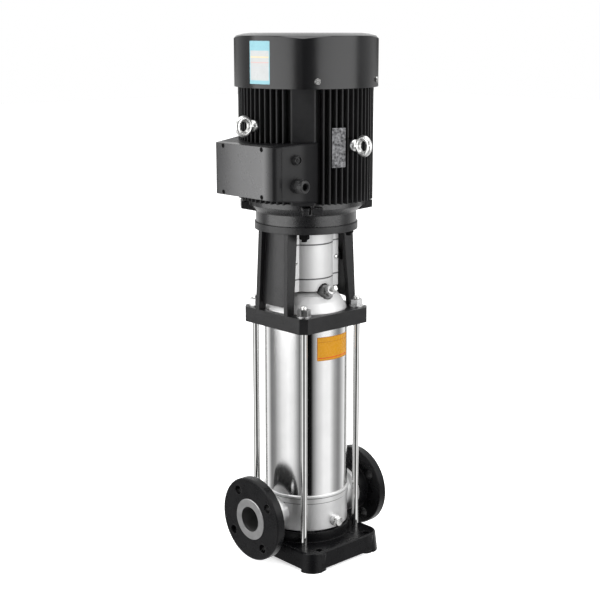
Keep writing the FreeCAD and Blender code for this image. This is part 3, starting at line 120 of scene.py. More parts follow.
def light_tent(strength):
    """The tent lights the pump and is mirrored in it, but the camera itself sees plain white."""
    world = bpy.data.worlds.new("light_tent")
    bpy.context.scene.world = world
    world.use_nodes = True
    tree = world.node_tree
    tree.nodes.clear()
    foot = light_strips(tree, [(-180, 0.70), (-130, 0.68), (-112, 0.13), (-96, 0.17), (-70, 0.58), (-50, 0.72),
                               (-36, 0.60), (-24, 0.30), (-15, 0.06), (-9, 0.0), (14.5, 0.0), (19.5, 0.14),
                               (31, 0.42), (50, 0.70), (68, 0.72), (84, 0.30), (98, 0.16), (106, 0.20),
                               (130, 0.68), (180, 0.70)])
    walls = light_strips(tree, [(-180, 0.04), (-160, 0.06), (-142, 0.30), (-118, 0.36), (-100, 0.45),
                                (-60, 0.60), (-44, 0.40), (-32, 0.02), (28, 0.02), (38, 0.30), (52, 0.60),
                                (68, 0.42), (84, 0.30), (104, 0.50), (134, 0.40), (152, 0.06), (180, 0.04)])
    upper = light_strips(tree, [(-180, 0.60), (-120, 0.50), (-60, 0.45), (-32, 0.02), (28, 0.02), (60, 0.40),
                                (120, 0.50), (180, 0.60)])
    ground = light_strips(tree, [(-180, 0.60), (-40, 0.60), (-12, 0.05), (20, 0.05), (46, 0.60), (180, 0.60)])
    ceiling = light_strips(tree, [(-180, 0.85), (-46, 0.85), (-14, 0.10), (22, 0.10), (52, 0.85), (180, 0.85)])
    sides = by_height(tree, -0.10, -0.02, foot, walls)
    sides = by_height(tree, 0.02, 0.08, sides, upper)
    sides = by_height(tree, -0.54, -0.44, ground, sides)
    tent = tree.nodes.new("ShaderNodeBackground")
    tent.inputs["Strength"].default_value = strength
    tree.links.new(by_height(tree, 0.30, 0.65, sides, ceiling), tent.inputs["Color"])
    wall = tree.nodes.new("ShaderNodeBackground")
    wall.inputs["Color"].default_value = grey(1)
    seen = tree.nodes.new("ShaderNodeLightPath")
    both = tree.nodes.new("ShaderNodeMixShader")
    out = tree.nodes.new("ShaderNodeOutputWorld")
    tree.links.new(seen.outputs["Is Camera Ray"], both.inputs["Fac"])
    tree.links.new(tent.outputs["Background"], both.inputs[1])
    tree.links.new(wall.outputs["Background"], both.inputs[2])
    tree.links.new(both.outputs["Shader"], out.inputs["Surface"])


def softbox(name, place, target, size, power):
    """Lamp with an oblong front, size in metres and power in watts, turned towards its target."""
    lamp = bpy.data.lights.new(name, "AREA")
    lamp.shape = "RECTANGLE"
    lamp.size, lamp.size_y = size
    lamp.energy = power
    box = bpy.data.objects.new(name, lamp)
    bpy.context.collection.objects.link(box)
    box.location = place
    box.rotation_euler = (Vector(target) - Vector(place)).to_track_quat("-Z", "Y").to_euler()


light_tent(1.6)
softbox("softbox_left", (-1.175, 0.25, 0.72), (0, -0.1, 0.72), (1.57, 0.9), 13)
softbox("softbox_right", (0.26, -1.16, 0.92), (0, 0, 0.92), (1.40, 0.95), 10.5)
softbox("softbox_top", (-0.3, -0.3, 3.0), (0, 0, 0.5), (1.6, 1.6), 30)

floor_reach = 14
floor_mesh = bpy.data.meshes.new("studio_floor")
floor_corners = [(floor_reach * x, floor_reach * y, 0) for x, y in ((-1, -1), (1, -1), (1, 1), (-1, 1))]
floor_mesh.from_pydata(floor_corners, [], [(0, 1, 2, 3)])
floor = bpy.data.objects.new("studio_floor", floor_mesh)
bpy.context.collection.objects.link(floor)
paper = bpy.data.materials.new("pale_paper")
paper.use_nodes = True
for name, value in (("Base Color", grey(0.93)), ("Roughness", 0.9), ("Specular IOR Level", 0.1),
                    ("Emission Color", grey(1)), ("Emission Strength", 0.6)):
    paper.node_tree.nodes["Principled BSDF"].inputs[name].default_value = value
floor_mesh.materials.append(paper)
floor.visible_glossy = False

lens = bpy.data.cameras.new("camera")
lens.lens = 73.76
lens.sensor_width = 36
lens.shift_x = -0.0102
camera = bpy.data.objects.new("camera", lens)
bpy.context.collection.objects.link(camera)
camera.location = (-1.6014, -1.7415, 1.0332)
camera.rotation_euler = (math.radians(77.61), 0, math.radians(-42.6))
bpy.context.scene.camera = camera
bpy.context.scene.view_settings.view_transform = "Standard"


# Foot plate, loose flanges and stool: grey iron castings, painted satin black.
# The paint rounds the edges and follows the sand skin of the casting, with a slight orange peel on top.
noise_span = (0.3, 0.7)


def mottled(tree, scale, detail, low, high):
    """Soft spots of one scale, from low to high."""
    spots = tree.nodes.new("ShaderNodeTexNoise")
    spots.inputs["Scale"].default_value = scale
    spots.inputs["Detail"].default_value = detail
    tree.links.new(point(tree), spots.inputs["Vector"])
    return ranged(tree, spots.outputs["Fac"], *noise_span, low, high)


def tinted(tree, dark, light, scale):
    """Patches of two near tones."""
    return mixed(tree, mottled(tree, scale, 3, 0, 1), (*dark, 1), (*light, 1))


def soft_edge(tree, rounding):
    """Skin whose edges are rounded by this many metres."""
    edge = tree.nodes.new("ShaderNodeBevel")
    edge.samples = 4
    edge.inputs["Radius"].default_value = rounding
    return edge.outputs["Normal"]


def bumped(tree, height, depth, strength, below):
    """Skin raised by height, at most depth metres, on the skin below it where there is one."""
    bump = tree.nodes.new("ShaderNodeBump")
    bump.inputs["Strength"].default_value = strength
    bump.inputs["Distance"].default_value = depth
    tree.links.new(height, bump.inputs["Height"])
    if below:
        tree.links.new(below, bump.inputs["Normal"])
    return bump.outputs["Normal"]


def skin(tree, layers, rounding=0.0):
    """Stacked bumps, each (scale, detail, depth in metres), on edges rounded by rounding metres."""
    last = soft_edge(tree, rounding) if rounding else None
    for scale, detail, depth in layers:
        last = bumped(tree, mottled(tree, scale, detail, 0, 1), depth, 1.0, last)
    return last


def surfaced(name, **sockets):
    """New material with some of its surface's own sockets set, as (material, its tree, its surface)."""
    made = bpy.data.materials.new(name)
    made.use_nodes = True
    surface = made.node_tree.nodes["Principled BSDF"]
    for socket, value in sockets.items():
        surface.inputs[socket.replace("_", " ")].default_value = value
    return made, made.node_tree, surface


def finish(name, dark, light, patch, roughness, layers, metallic=0.0, rounding=0.0, specular=0.5):
    """Surface with patches of two near tones, a roughness range over a finer scale, and a layered skin."""
    made, tree, surface = surfaced(name, Metallic=metallic, Specular_IOR_Level=specular)
    tree.links.new(tinted(tree, dark, light, patch), surface.inputs["Base Color"])
    tree.links.new(mottled(tree, patch * 4, 4, *roughness), surface.inputs["Roughness"])
    tree.links.new(skin(tree, layers, rounding), surface.inputs["Normal"])
    return made


def dress(material, *names):
    """Gives CAD nodes their real material."""
    for name in names:
        for slot in nodes[name].material_slots:
            slot.material = material


black_casting = finish("black_casting", (0.002, 0.002, 0.0025), (0.004, 0.004, 0.0045), 14, (0.24, 0.33),
                       [(260, 3, 0.00014), (900, 2, 0.00003)], rounding=0.003, specular=0.2)
dress(black_casting, "base_plate", "suction_flange", "discharge_flange")
stool_paint = finish("stool_paint", (0.004, 0.004, 0.0045), (0.007, 0.007, 0.0075), 14, (0.32, 0.42),
                     [(260, 3, 0.00018), (900, 2, 0.00005)], rounding=0.002, specular=0.37)
dress(stool_paint, "motor_stool")


# Foot casting, head and port rings: cast stainless steel, bead blasted to an even matt grey.
# The foot casting has a raised band under its bead, and the rings are faced off flat for the flange gaskets.
port_height = 0.095
bore_radius = 0.0252
band_edges = (0.1190, 0.1300)
band_radius = 0.0862


def vectored(tree, operation, *given):
    """Vector Math: a vector, or the length of one."""
    step = tree.nodes.new("ShaderNodeVectorMath")
    step.operation = operation
    for k, value in enumerate(given):
        wire(tree, value, step.inputs[k])
    return step.outputs["Value" if operation == "LENGTH" else "Vector"]


def reckoned(tree, operation, *given):
    """Math on plain numbers."""
    step = tree.nodes.new("ShaderNodeMath")
    step.operation = operation
    for k, value in enumerate(given):
        wire(tree, value, step.inputs[k])
    return step.outputs["Value"]


def covered(made, share, colour):
    """Lays another colour over a material's own, by a share from 0 to 1."""
    tree = made.node_tree
    tone = tree.nodes["Principled BSDF"].inputs["Base Color"]
    tree.links.new(mixed(tree, share, tone.links[0].from_socket, colour), tone)


def shadow_lines(made, heights, half, shade, reach=1.0):
    """Painted shade lies in thin lines at these heights, under an edge or in a groove, all in metres.
    Only what is closer than reach to the pump's axis is darkened."""
    tree = made.node_tree
    for height in heights:
        off_axis = vectored(tree, "LENGTH", vectored(tree, "MULTIPLY", point(tree), (1, 1, 0)))
        line = reckoned(tree, "COMPARE", along(tree, "Z"), height, half)
        near = reckoned(tree, "LESS_THAN", off_axis, reach)
        covered(made, reckoned(tree, "MULTIPLY", line, near), grey(shade))


def painted_bore_shade(made, shade):
    """Painted shade in the way through the ports: the bore is darkened within bore_radius of the ports' axis."""
    tree = made.node_tree
    off_ports = vectored(tree, "MULTIPLY_ADD", point(tree), (0, 1, 1), (0, 0, -port_height))
    covered(made, reckoned(tree, "LESS_THAN", vectored(tree, "LENGTH", off_ports), bore_radius), grey(shade))


cast_stainless = finish("cast_stainless", (0.68, 0.68, 0.68), (0.78, 0.78, 0.78), 30, (0.40, 0.48),
                        [(1100, 3, 0.00008), (180, 2, 0.0001)], metallic=0.95, rounding=0.0008)
dress(cast_stainless, "base_chamber")
blasted_head = finish("blasted_head", (0.66, 0.66, 0.66), (0.74, 0.74, 0.74), 30, (0.56, 0.64),
                      [(1100, 3, 0.00008), (180, 2, 0.0001)], metallic=0.95, rounding=0.0008)
dress(blasted_head, "pump_head")
faced_ring = finish("faced_ring", (0.38, 0.38, 0.38), (0.46, 0.46, 0.46), 80, (0.34, 0.44),
                    [(900, 3, 0.00006)], metallic=1.0, rounding=0.0012)
dress(faced_ring, "port_rings")
# Painted shade in thin lines at the edges of the raised band under the bead.
shadow_lines(cast_stainless, band_edges, 0.0008, 0.14, band_radius)
# Painted shade inside the bores of the foot casting and the port rings.
painted_bore_shade(cast_stainless, 0.26)
painted_bore_shade(faced_ring, 0.26)


# Outer sleeve: a tube of polished stainless sheet between the foot and the head.
# It is polished round its axis, so what it mirrors is drawn out along the tube.
def drawn_steel(name, tone, roughness, spread, grain, rounding=0.0, metallic=1.0):
    """Polished steel with fine lines round the upright axis, which spread a reflection along it."""
    made, tree, surface = surfaced(name, Metallic=metallic, Anisotropic=spread, Anisotropic_Rotation=0.25)
    way = tree.nodes.new("ShaderNodeTangent")
    way.direction_type = "RADIAL"
    way.axis = "Z"
    squeeze = tree.nodes.new("ShaderNodeMapping")
    squeeze.inputs["Scale"].default_value = (3, 3, 1600)
    lines = tree.nodes.new("ShaderNodeTexNoise")
    lines.inputs["Scale"].default_value = 1
    lines.inputs["Detail"].default_value = 3
    tree.links.new(point(tree), squeeze.inputs["Vector"])
    tree.links.new(squeeze.outputs["Vector"], lines.inputs["Vector"])
    gloss = ranged(tree, lines.outputs["Fac"], *noise_span, *roughness)
    edges = soft_edge(tree, rounding) if rounding else None
    tree.links.new(way.outputs["Tangent"], surface.inputs["Tangent"])
    tree.links.new(tinted(tree, tuple(0.94 * c for c in tone), tone, 25), surface.inputs["Base Color"])
    tree.links.new(gloss, surface.inputs["Roughness"])
    tree.links.new(bumped(tree, lines.outputs["Fac"], grain, 0.5, edges), surface.inputs["Normal"])
    return made


polished_sleeve = drawn_steel("polished_sleeve", (0.80, 0.80, 0.80), (0.12, 0.16), 0.86, 0.00001)
dress(polished_sleeve, "outer_sleeve")


# Drain plug: a hexagon plug of bright steel on a flat collar, screwed into the boss of the foot casting.
# Its head is turned from bar, so its corners are chamfered.
def turned(profile, steps=72, outline=None, closed=False):
    """Mesh of a profile [(radius, height), ...] in mm turned round the upright axis.
    outline(angle, radius, height) may change the radius, and a closed profile goes back to its first point."""
    verts, faces = [], []
    for r, z in profile:
        for k in range(steps):
            a = 2 * math.pi * k / steps
            here = outline(a, r, z) if outline else r
            verts.append(Vector((here * math.cos(a), here * math.sin(a), z)))
    rows = len(profile)
    for row in range(rows if closed else rows - 1):
        low, high = row * steps, (row + 1) % rows * steps
        for k in range(steps):
            after = (k + 1) % steps
            faces.append((low + k, low + after, high + after, high + k))
    if not closed:
        faces.append(tuple(reversed(range(steps))))
        faces.append(tuple((rows - 1) * steps + k for k in range(steps)))
    return verts, faces


def hexagon(flats, low, high, chamfer=0.0, foot_chamfer=0.0, turn=0.0):
    """Hexagon head in mm with its corners turned off at the top, and at the foot if asked."""
    corner = flats / math.sqrt(3)

    def outline(a, r, z):
        off = (a - math.radians(turn)) % (math.pi / 3) - math.pi / 6
        return min(r, flats / 2 / math.cos(off))

    foot = [(corner - foot_chamfer * 2, low), (corner, low + foot_chamfer)] if foot_chamfer else [(corner, low)]
    steps = 6
    top = [(corner - chamfer * 2 * k / steps, high - chamfer + chamfer * k / steps) for k in range(steps + 1)]
    return turned(foot + top, outline=outline)


def placed(part, at, way, turn=0.0):
    """Part made along the upright axis, moved to the point at (in mm) with its top the way given."""
    spin = Vector(way).to_track_quat("Z", "Y").to_matrix().to_4x4() @ Matrix.Rotation(math.radians(turn), 4, "Z")
    spin.translation = Vector(at)
    return [spin @ v for v in part[0]], part[1]


def piece(name, parts, material, body, *stands_for, sharp=32):
    """One object in metres from parts in mm, smooth but for its sharp edges, riding on its body."""
    verts, faces = [], []
    for part_verts, part_faces in parts:
        first = len(verts)
        verts += [v * 0.001 for v in part_verts]
        faces += [tuple(first + k for k in face) for face in part_faces]
    mesh = bpy.data.meshes.new(name)
    mesh.from_pydata(verts, [], faces)
    shape = bmesh.new()
    shape.from_mesh(mesh)
    bmesh.ops.recalc_face_normals(shape, faces=shape.faces)
    shape.to_mesh(mesh)
    shape.free()
    mesh.shade_smooth()
    mesh.set_sharp_from_angle(angle=math.radians(sharp))
    mesh.materials.append(material)
    made = bpy.data.objects.new(name, mesh)
    bpy.context.collection.objects.link(made)
    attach(made, body)
    if stands_for:
        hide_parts(*stands_for)


front = (0, -1, 0)
bright_zinc = finish("bright_zinc", (0.66, 0.66, 0.65), (0.80, 0.80, 0.79), 120, (0.18, 0.30),
                     [(700, 2, 0.00003)], metallic=1.0, rounding=0.0004)
drain_height = 78
drain_face = 90.5
drain_collar = drain_face + 2
drain_parts = [turned([(7, 77.5), (7, drain_face), (10.2, drain_face), (10.5, drain_face + 0.3),
                       (10.5, drain_face + 1.6), (10.1, drain_collar), (7, drain_collar)]),
               hexagon(17, drain_collar, drain_collar + 7, 0.9)]
piece("drain_plug_turned", [placed(part, (0, 0, drain_height), front, 8) for part in drain_parts],
      bright_zinc, "pump_body", "drain_plug")


# Vent plug: a hexagon plug of stainless steel in the boss of the head, with a small bleed screw in it.
# The screw is loosened to let the air out when the pump is filled.
vent_lean = math.radians(24)
vent_way = (0, -math.cos(vent_lean), math.sin(vent_lean))
vent_mouth = Vector((0, -58, 539)) + Vector(vent_way) * 4.4
boss_radius = 0.0158


def painted_vent_shade(made, shade):
    """Painted shade round the vent: the head is darkened within boss_radius of the vent's axis, in the gap under
    the guard.
    """
    tree = made.node_tree
    from_mouth = vectored(tree, "SUBTRACT", point(tree), vent_mouth * 0.001)
    off_axis = vectored(tree, "LENGTH", vectored(tree, "CROSS_PRODUCT", from_mouth, vent_way))
    covered(made, reckoned(tree, "LESS_THAN", off_axis, boss_radius), grey(shade))


# Painted shade: the head is darkened round the vent, where the guard's cut-out leaves a shaded gap about the
# boss.
painted_vent_shade(blasted_head, 0.22)
vent_steel = finish("vent_steel", (0.34, 0.34, 0.34), (0.46, 0.46, 0.46), 120, (0.22, 0.34),
                    [(700, 2, 0.00003)], metallic=1.0, rounding=0.0005)
vent_parts = [turned([(7, -14), (7, 0)]), hexagon(19, 0.0, 12, 1.0, 0.5)]
piece("vent_plug_turned", [placed(part, vent_mouth, vent_way, 14) for part in vent_parts],
      vent_steel, "pump_body", "vent_plug")
dress(bright_zinc, "vent_screw")


# Staybolts: four plain rods of bright steel from the foot plate to the head plate, threaded at the top.
# A washer and a chamfered nut on each pull the plates together over the sleeve.
rod_radius, rod_spread, rod_steps = 6.5, 70.5, 48
rod_foot, thread_start, thread_end = 12, 505, 522.6
rows_per_turn = 8


def threaded(r, low, high, pitch, depth):
    """Threaded end in mm: the skin dips by depth once each pitch, along a helix, and tapers off at both ends."""
    rows = round((high - low) / pitch * rows_per_turn)
    profile = [(r, low + (high - low) * k / rows) for k in range(rows + 1)]

    def outline(a, here, z):
        wave = 0.5 - 0.5 * math.cos(2 * math.pi * (z / pitch - a / (2 * math.pi)))
        fade = min(1, (z - low) / pitch, (high - z) / pitch * 1.5 + 0.4)
        return here - depth * wave * max(0, fade)

    return turned(profile, rod_steps, outline)


rod_steel = finish("rod_steel", (0.74, 0.74, 0.73), (0.80, 0.80, 0.79), 60, (0.03, 0.06),
                   [(500, 2, 0.00001)], metallic=1.0)
rod_parts = [turned([(rod_radius, rod_foot), (rod_radius, thread_start)], rod_steps),
             threaded(rod_radius, thread_start, thread_end, 2.0, 0.9),
             turned([(6.4, 522.5), (5.6, 523.5)], rod_steps)]
piece("staybolts_threaded", [placed(part, (rod_spread * x, rod_spread * y, 0), (0, 0, 1))
                             for x, y in ((1, 1), (-1, 1), (-1, -1), (1, -1)) for part in rod_parts],
      rod_steel, "pump_body", "staybolts", sharp=50)
satin_zinc = finish("satin_zinc", (0.42, 0.42, 0.42), (0.56, 0.56, 0.56), 90, (0.26, 0.36), [(700, 2, 0.00004)],
                    metallic=1.0, rounding=0.0006)
dress(satin_zinc, "staybolt_nuts", "staybolt_washers")


# Coupling guards: bright stainless sheet, bowed over the coupling, with two pressed lines.
# Each is screwed to lugs on the stool through the flat flange on its sides.
pressed_heights = (0.565, 0.632)
guard_sheet = drawn_steel("guard_sheet", (0.56, 0.56, 0.56), (0.48, 0.56), 0.2, 0.00001, 0.0006, metallic=0.6)
# Painted shade along the two pressed grooves of the guards.
shadow_lines(guard_sheet, pressed_heights, 0.0014, 0.12)
dress(guard_sheet, "front_guard", "rear_guard")
lug_across, lug_face, lug_height = 54, 28, 598
domed_screw = turned([(2.5, -8), (2.5, 0), (4.8, 0), (5, 0.3), (4.9, 1.2), (4.2, 2.2), (2.8, 2.8), (1.6, 3),
                      (1.5, 1.6)], 40)
piece("guard_screws_domed", [placed(domed_screw, (x, side * lug_face, lug_height), (0, side, 0))
                             for side in (-1, 1) for x in (-lug_across, lug_across)],
      bright_zinc, "pump_body", "guard_screws", sharp=40)


# Motor: a finned aluminium die casting and two cast end shields, under satin black paint.
# The frame is bolted to its lower shield through four lugs.
motor_paint = finish("motor_paint", (0.010, 0.010, 0.0105), (0.014, 0.014, 0.0145), 18, (0.32, 0.42),
                     [(500, 3, 0.0001), (1500, 2, 0.00003)], rounding=0.0015, specular=0.14)
dress(motor_paint, "motor_frame", "upper_end_shield")
shield_paint = finish("shield_paint", (0.006, 0.006, 0.0065), (0.009, 0.009, 0.0095), 18, (0.24, 0.32),
                      [(500, 3, 0.00006), (1500, 2, 0.00002)], rounding=0.002, specular=0.5)
dress(shield_paint, "lower_end_shield")
black_oxide = finish("black_oxide", (0.004, 0.004, 0.0045), (0.008, 0.008, 0.0085), 200, (0.3, 0.45),
                     [(900, 2, 0.00003)], rounding=0.0004, specular=0.3)
dress(black_oxide, "shield_bolts")


# Fan cover: deep drawn sheet steel, painted a smooth satin dark grey, over a moulded plastic fan.
# It is held to the motor by zinc plated screws through its wall.
cover_paint = finish("cover_paint", (0.004, 0.004, 0.0045), (0.006, 0.006, 0.0065), 8, (0.17, 0.21),
                     [(1300, 2, 0.00003)], rounding=0.0012, specular=0.36)
dress(cover_paint, "fan_cover")
dress(bright_zinc, "fan_cover_screws")
fan_plastic = finish("fan_plastic", (0.010, 0.010, 0.011), (0.016, 0.016, 0.017), 60, (0.42, 0.55),
                     [(1200, 2, 0.00004)], rounding=0.0005, specular=0.4)
dress(fan_plastic, "fan")


# Lifting eyes: forged rings with a round collar, zinc plated, screwed into bosses between the fins.
# The ring keeps the faint line of the forging dies all round it.
ridge_sharpness = 40


def forged_ring(major, minor, ridge, steps=72, around=28):
    """Ring in mm about the upright axis, with the ridge on the outside."""
    verts, faces = [], []
    for k in range(steps):
        a = 2 * math.pi * k / steps
        for j in range(around):
            b = 2 * math.pi * j / around
            r = minor + ridge * (math.cos(b) ** ridge_sharpness)
            far = major + r * math.cos(b)
            verts.append(Vector((far * math.cos(a), far * math.sin(a), r * math.sin(b))))
    for k in range(steps):
        for j in range(around):
            after = (j + 1) % around
            one, two = k * around, (k + 1) % steps * around
            faces.append((one + j, two + j, two + after, one + after))
    return verts, faces


forged_zinc = finish("forged_zinc", (0.62, 0.62, 0.61), (0.78, 0.78, 0.77), 90, (0.26, 0.40),
                     [(350, 3, 0.0002), (1400, 2, 0.00004)], metallic=1.0)
eye_reach = 155
eye_stem = turned([(5, 115), (5, 129), (10.2, 129), (10.8, 129.6), (10.8, 133), (10.2, 134), (8, 135.2),
                   (6.6, 137.5), (5.6, 141), (4.5, 144)], 56)
eye_parts = []
for height, way, hole in ((861, Vector((-1, 0, 0)), (0, 1, 0)), (826, Vector(front), (1, 0, 0))):
    at = Vector((0, 0, height))
    eye_parts += [placed(eye_stem, at, way), placed(forged_ring(14.5, 5.3, 0.18), at + way * eye_reach, hole)]
piece("lifting_eyes_forged", eye_parts, forged_zinc, "pump_body", "eye_bolts", sharp=60)


# Motor bolts: four hexagon bolts with flanged heads and a dull black oxide skin.
# They are put in from below, through the ring of the stool into the lower shield, once the motor stands on it.
dull_oxide = finish("dull_oxide", (0.001, 0.001, 0.001), (0.003, 0.003, 0.003), 300, (0.6, 0.7),
                    [(900, 2, 0.00003)], specular=0.05)
bolt_across = 58.34
bolt_parts = [turned([(5, 659), (5, 690)]), turned([(10, 657.5), (10, 659)]),
              hexagon(17, 648.5, 657.5, 0.4, 0.8, 20), turned([(4.4, 643.4), (5.2, 644.2), (5.2, 648.5)])]
piece("motor_bolts_headed", [placed(part, (x, y, 0), (0, 0, 1)) for part in bolt_parts
                             for x in (-bolt_across, bolt_across) for y in (-bolt_across, bolt_across)],
      dull_oxide, "pump_body", "motor_bolts")


# Terminal box and lid: aluminium die castings in a dark grey paint with a fine even texture.
# The lid is held by four black screws sunk in its corners. Painted light and shade: the lid is lighter in the
# middle of its face and darker towards its edges, and the box is darker towards the frame.
lid_half = 0.0894
lid_edge = (-0.050, -0.084)
box_side = (-0.146, -0.072)


def lean_forward(made, start, end, lean):
    """Leans the skin to the front between two places along Y, as on the broad upright edge of the lid."""
    tree = made.node_tree
    edge = next(node for node in tree.nodes if node.type == "BEVEL").outputs["Normal"]
    onward = edge.links[0].to_socket
    side = tree.nodes.new("ShaderNodeCombineXYZ")
    tree.links.new(ranged(tree, along(tree, "Y"), start, end, 0.0, -lean), side.inputs["Y"])
    tree.links.new(vectored(tree, "NORMALIZE", vectored(tree, "ADD", edge, side.outputs["Vector"])), onward)


def painted_light_and_shade(made, axis, low, high, stops, tint, specular):
    """Painted light and shade along one axis: by the stops the colour goes over to the darker tint and the gloss
    to the given specular, and elsewhere the paint keeps its own colour and gloss.
    Stops are (share of the way from low to high along the axis, share of the darker tint)."""
    tree = made.node_tree
    gloss = tree.nodes["Principled BSDF"].inputs["Specular IOR Level"]
    shade_share = banded(tree, ranged(tree, along(tree, axis), low, high),
                       [(at, grey(left)) for at, left in stops], "EASE")
    covered(made, shade_share, (*tint, 1))
    tree.links.new(ranged(tree, shade_share, 0.0, 1.0, gloss.default_value, specular), gloss)


box_paint = finish("box_paint", (0.005, 0.005, 0.0055), (0.008, 0.008, 0.0085), 12, (0.36, 0.44),
                   [(900, 2, 0.00005)], rounding=0.0015, specular=0.2)
# Painted shade: the box side darkens and dulls towards the motor frame.
painted_light_and_shade(box_paint, "X", *box_side, [(0, 0.0), (0.5, 0.0), (0.75, 0.8), (1, 1.0)],
              (0.003, 0.003, 0.0035), 0.05)
dress(box_paint, "terminal_box")
# Painted light: the lid's grey is lighter than the box's same paint, standing in for the light on its broad face.
lid_paint = finish("lid_paint", (0.040, 0.040, 0.041), (0.046, 0.046, 0.047), 12, (0.26, 0.30),
                   [(900, 2, 0.00001)], rounding=0.002, specular=0.7)
lean_forward(lid_paint, *lid_edge, 0.7)
# Painted shade: the lid darkens and dulls towards its edges, most towards its right end.
painted_light_and_shade(lid_paint, "Y", -lid_half, lid_half, [(0, 1.0), (0.06, 0.92), (0.24, 0.0), (0.50, 0.0), (1, 0.62)],
              (0.007, 0.007, 0.0075), 0.12)
dress(lid_paint, "terminal_box_lid")
dress(dull_oxide, "lid_screws")


# Cable gland and blanking plug: moulded black plastic, screwed into the side of the terminal box.
# The gland has a hexagon foot, a ribbed cap nut and a rubber sleeve that grips the cable.
rib_count, rib_depth = 16, 0.55


def ribs(a, r, z):
    """Outline of the cap nut, ribbed on its outside only."""
    ribbed = r > 11 and 112 < z < 119.5
    return r - (rib_depth * (0.5 + 0.5 * math.cos(rib_count * a)) ** 3 if ribbed else 0)


gland_plastic = finish("gland_plastic", (0.006, 0.006, 0.0065), (0.010, 0.010, 0.0105), 60, (0.36, 0.48),
                       [(1200, 2, 0.00004)], rounding=0.0005, specular=0.5)
gland_foot = turned([(6.6, 84), (9.5, 84), (9.5, 103), (9.6, 103), (9.6, 110), (6.6, 110)], 64, closed=True)
gland_cap = turned([(9.8, 110), (11.7, 110), (12, 110.6), (12, 112), (12, 112.4), (12, 116), (12, 119.2),
                    (11.9, 119.8), (11.2, 120.9), (9.8, 121.7), (8.4, 122), (7.9, 121.6), (7.9, 114)], 128,
                   ribs, closed=True)
gland_seal = turned([(6.5, 112), (7.85, 112), (7.85, 120.4), (7.5, 120.9), (6.9, 120.6), (6.5, 119.6)], 64,
                    closed=True)
gland_hexagon = hexagon(24, 103, 110.4, 0.8, 0.8, 10)
piece("gland_moulded", [placed(part, (-113, 0, 757), front) for part in (gland_foot, gland_cap, gland_seal,
                                                                         gland_hexagon)],
      gland_plastic, "pump_body", "cable_gland", sharp=28)
plug_plastic = finish("plug_plastic", (0.003, 0.003, 0.0035), (0.006, 0.006, 0.0065), 60, (0.36, 0.46),
                      [(1200, 2, 0.00004)], rounding=0.0004, specular=0.3)
plug_disc = turned([(6, 78), (6, 103), (8, 103), (8, 105.2), (7.5, 106), (6.4, 106), (6.0, 103.4), (3.4, 103.4),
                    (3.2, 105.3), (1.6, 105.3), (1.4, 104.4)], 64)
piece("blanking_plug_moulded", [placed(plug_disc, (-115, 0, 804), front)], plug_plastic,
      "pump_body", "blanking_plug")


# Nameplate: a thin anodised plate with rounded corners, left bare.
# It is fixed by four rivets to the ends of the fins on the front of the frame.
def rounded_rim(half_width, half_height, r, steps):
    """Points round an upright oblong with rounded corners."""
    rim = []
    for quarter, (sx, sy) in enumerate(((1, 1), (-1, 1), (-1, -1), (1, -1))):
        for k in range(steps + 1):
            a = math.radians(90 * quarter + 90 * k / steps)
            rim.append((sx * (half_width - r) + r * math.cos(a), sy * (half_height - r) + r * math.sin(a)))
    return rim


def slab(half_width, half_height, r, thickness):
    """Flat plate in mm with rounded corners, standing on height 0."""
    rim = rounded_rim(half_width, half_height, r, 8)
    verts = [Vector((x, y, z)) for z in (0, thickness) for x, y in rim]
    n = len(rim)
    faces = [(k, (k + 1) % n, n + (k + 1) % n, n + k) for k in range(n)]
    faces += [tuple(reversed(range(n))), tuple(range(n, 2 * n))]
    return verts, faces


dark_plate = finish("dark_plate", (0.006, 0.006, 0.007), (0.14, 0.14, 0.145), 200, (0.25, 0.45),
                    [(500, 3, 0.00015)], metallic=0.7, rounding=0.0003)
plate_turn = math.radians(-105)
plate_way = Vector((math.cos(plate_turn), math.sin(plate_turn), 0))
plate_side = Vector((-plate_way.y, plate_way.x, 0))
plate_back = plate_way * 128
rivet = turned([(1.3, 0), (1.3, 1.0), (1.9, 1.0), (1.8, 1.25), (1.2, 1.6), (0.5, 1.75)], 24)
plate_parts = [placed(slab(14, 36, 1.5, 1.0), plate_back + Vector((0, 0, 823)), plate_way)]
plate_parts += [placed(rivet, plate_back + plate_side * across + Vector((0, 0, height)), plate_way)
                for across in (-11.5, 11.5) for height in (790, 856)]
piece("nameplate_riveted", plate_parts, dark_plate, "pump_body", "nameplate")


# Labels: self adhesive films, a white one with pale blue bands on the cover and an amber one on the sleeve.
# They are bare but for plain bands of colour, and each follows the metal that it is stuck to.
def label_print(name, stops, roughness, border):
    """Printed film whose flat colour changes with height: stops are (height in metres, colour).
    A border is (axis, centre, half width, colour): the film takes that colour further out than the half width."""
    made, tree, surface = surfaced(name, Specular_IOR_Level=0.2)
    foot, head = stops[0][0], stops[-1][0]
    bands = [((height - foot) / (head - foot), (*colour, 1)) for height, colour in stops[:-1]]
    printed = banded(tree, ranged(tree, along(tree, "Z"), foot, head), bands, "CONSTANT")
    axis, centre, half, colour = border
    off = reckoned(tree, "ABSOLUTE", reckoned(tree, "SUBTRACT", along(tree, axis), centre))
    printed = mixed(tree, reckoned(tree, "GREATER_THAN", off, half), printed, (*colour, 1))
    shade = mixed(tree, 1.0, printed, tinted(tree, (0.94, 0.94, 0.94), (1, 1, 1), 60))
    shade.node.blend_type = "MULTIPLY"
    tree.links.new(shade, surface.inputs["Base Color"])
    tree.links.new(mottled(tree, 200, 3, *roughness), surface.inputs["Roughness"])
    tree.links.new(skin(tree, [(400, 2, 0.00003)]), surface.inputs["Normal"])
    return made


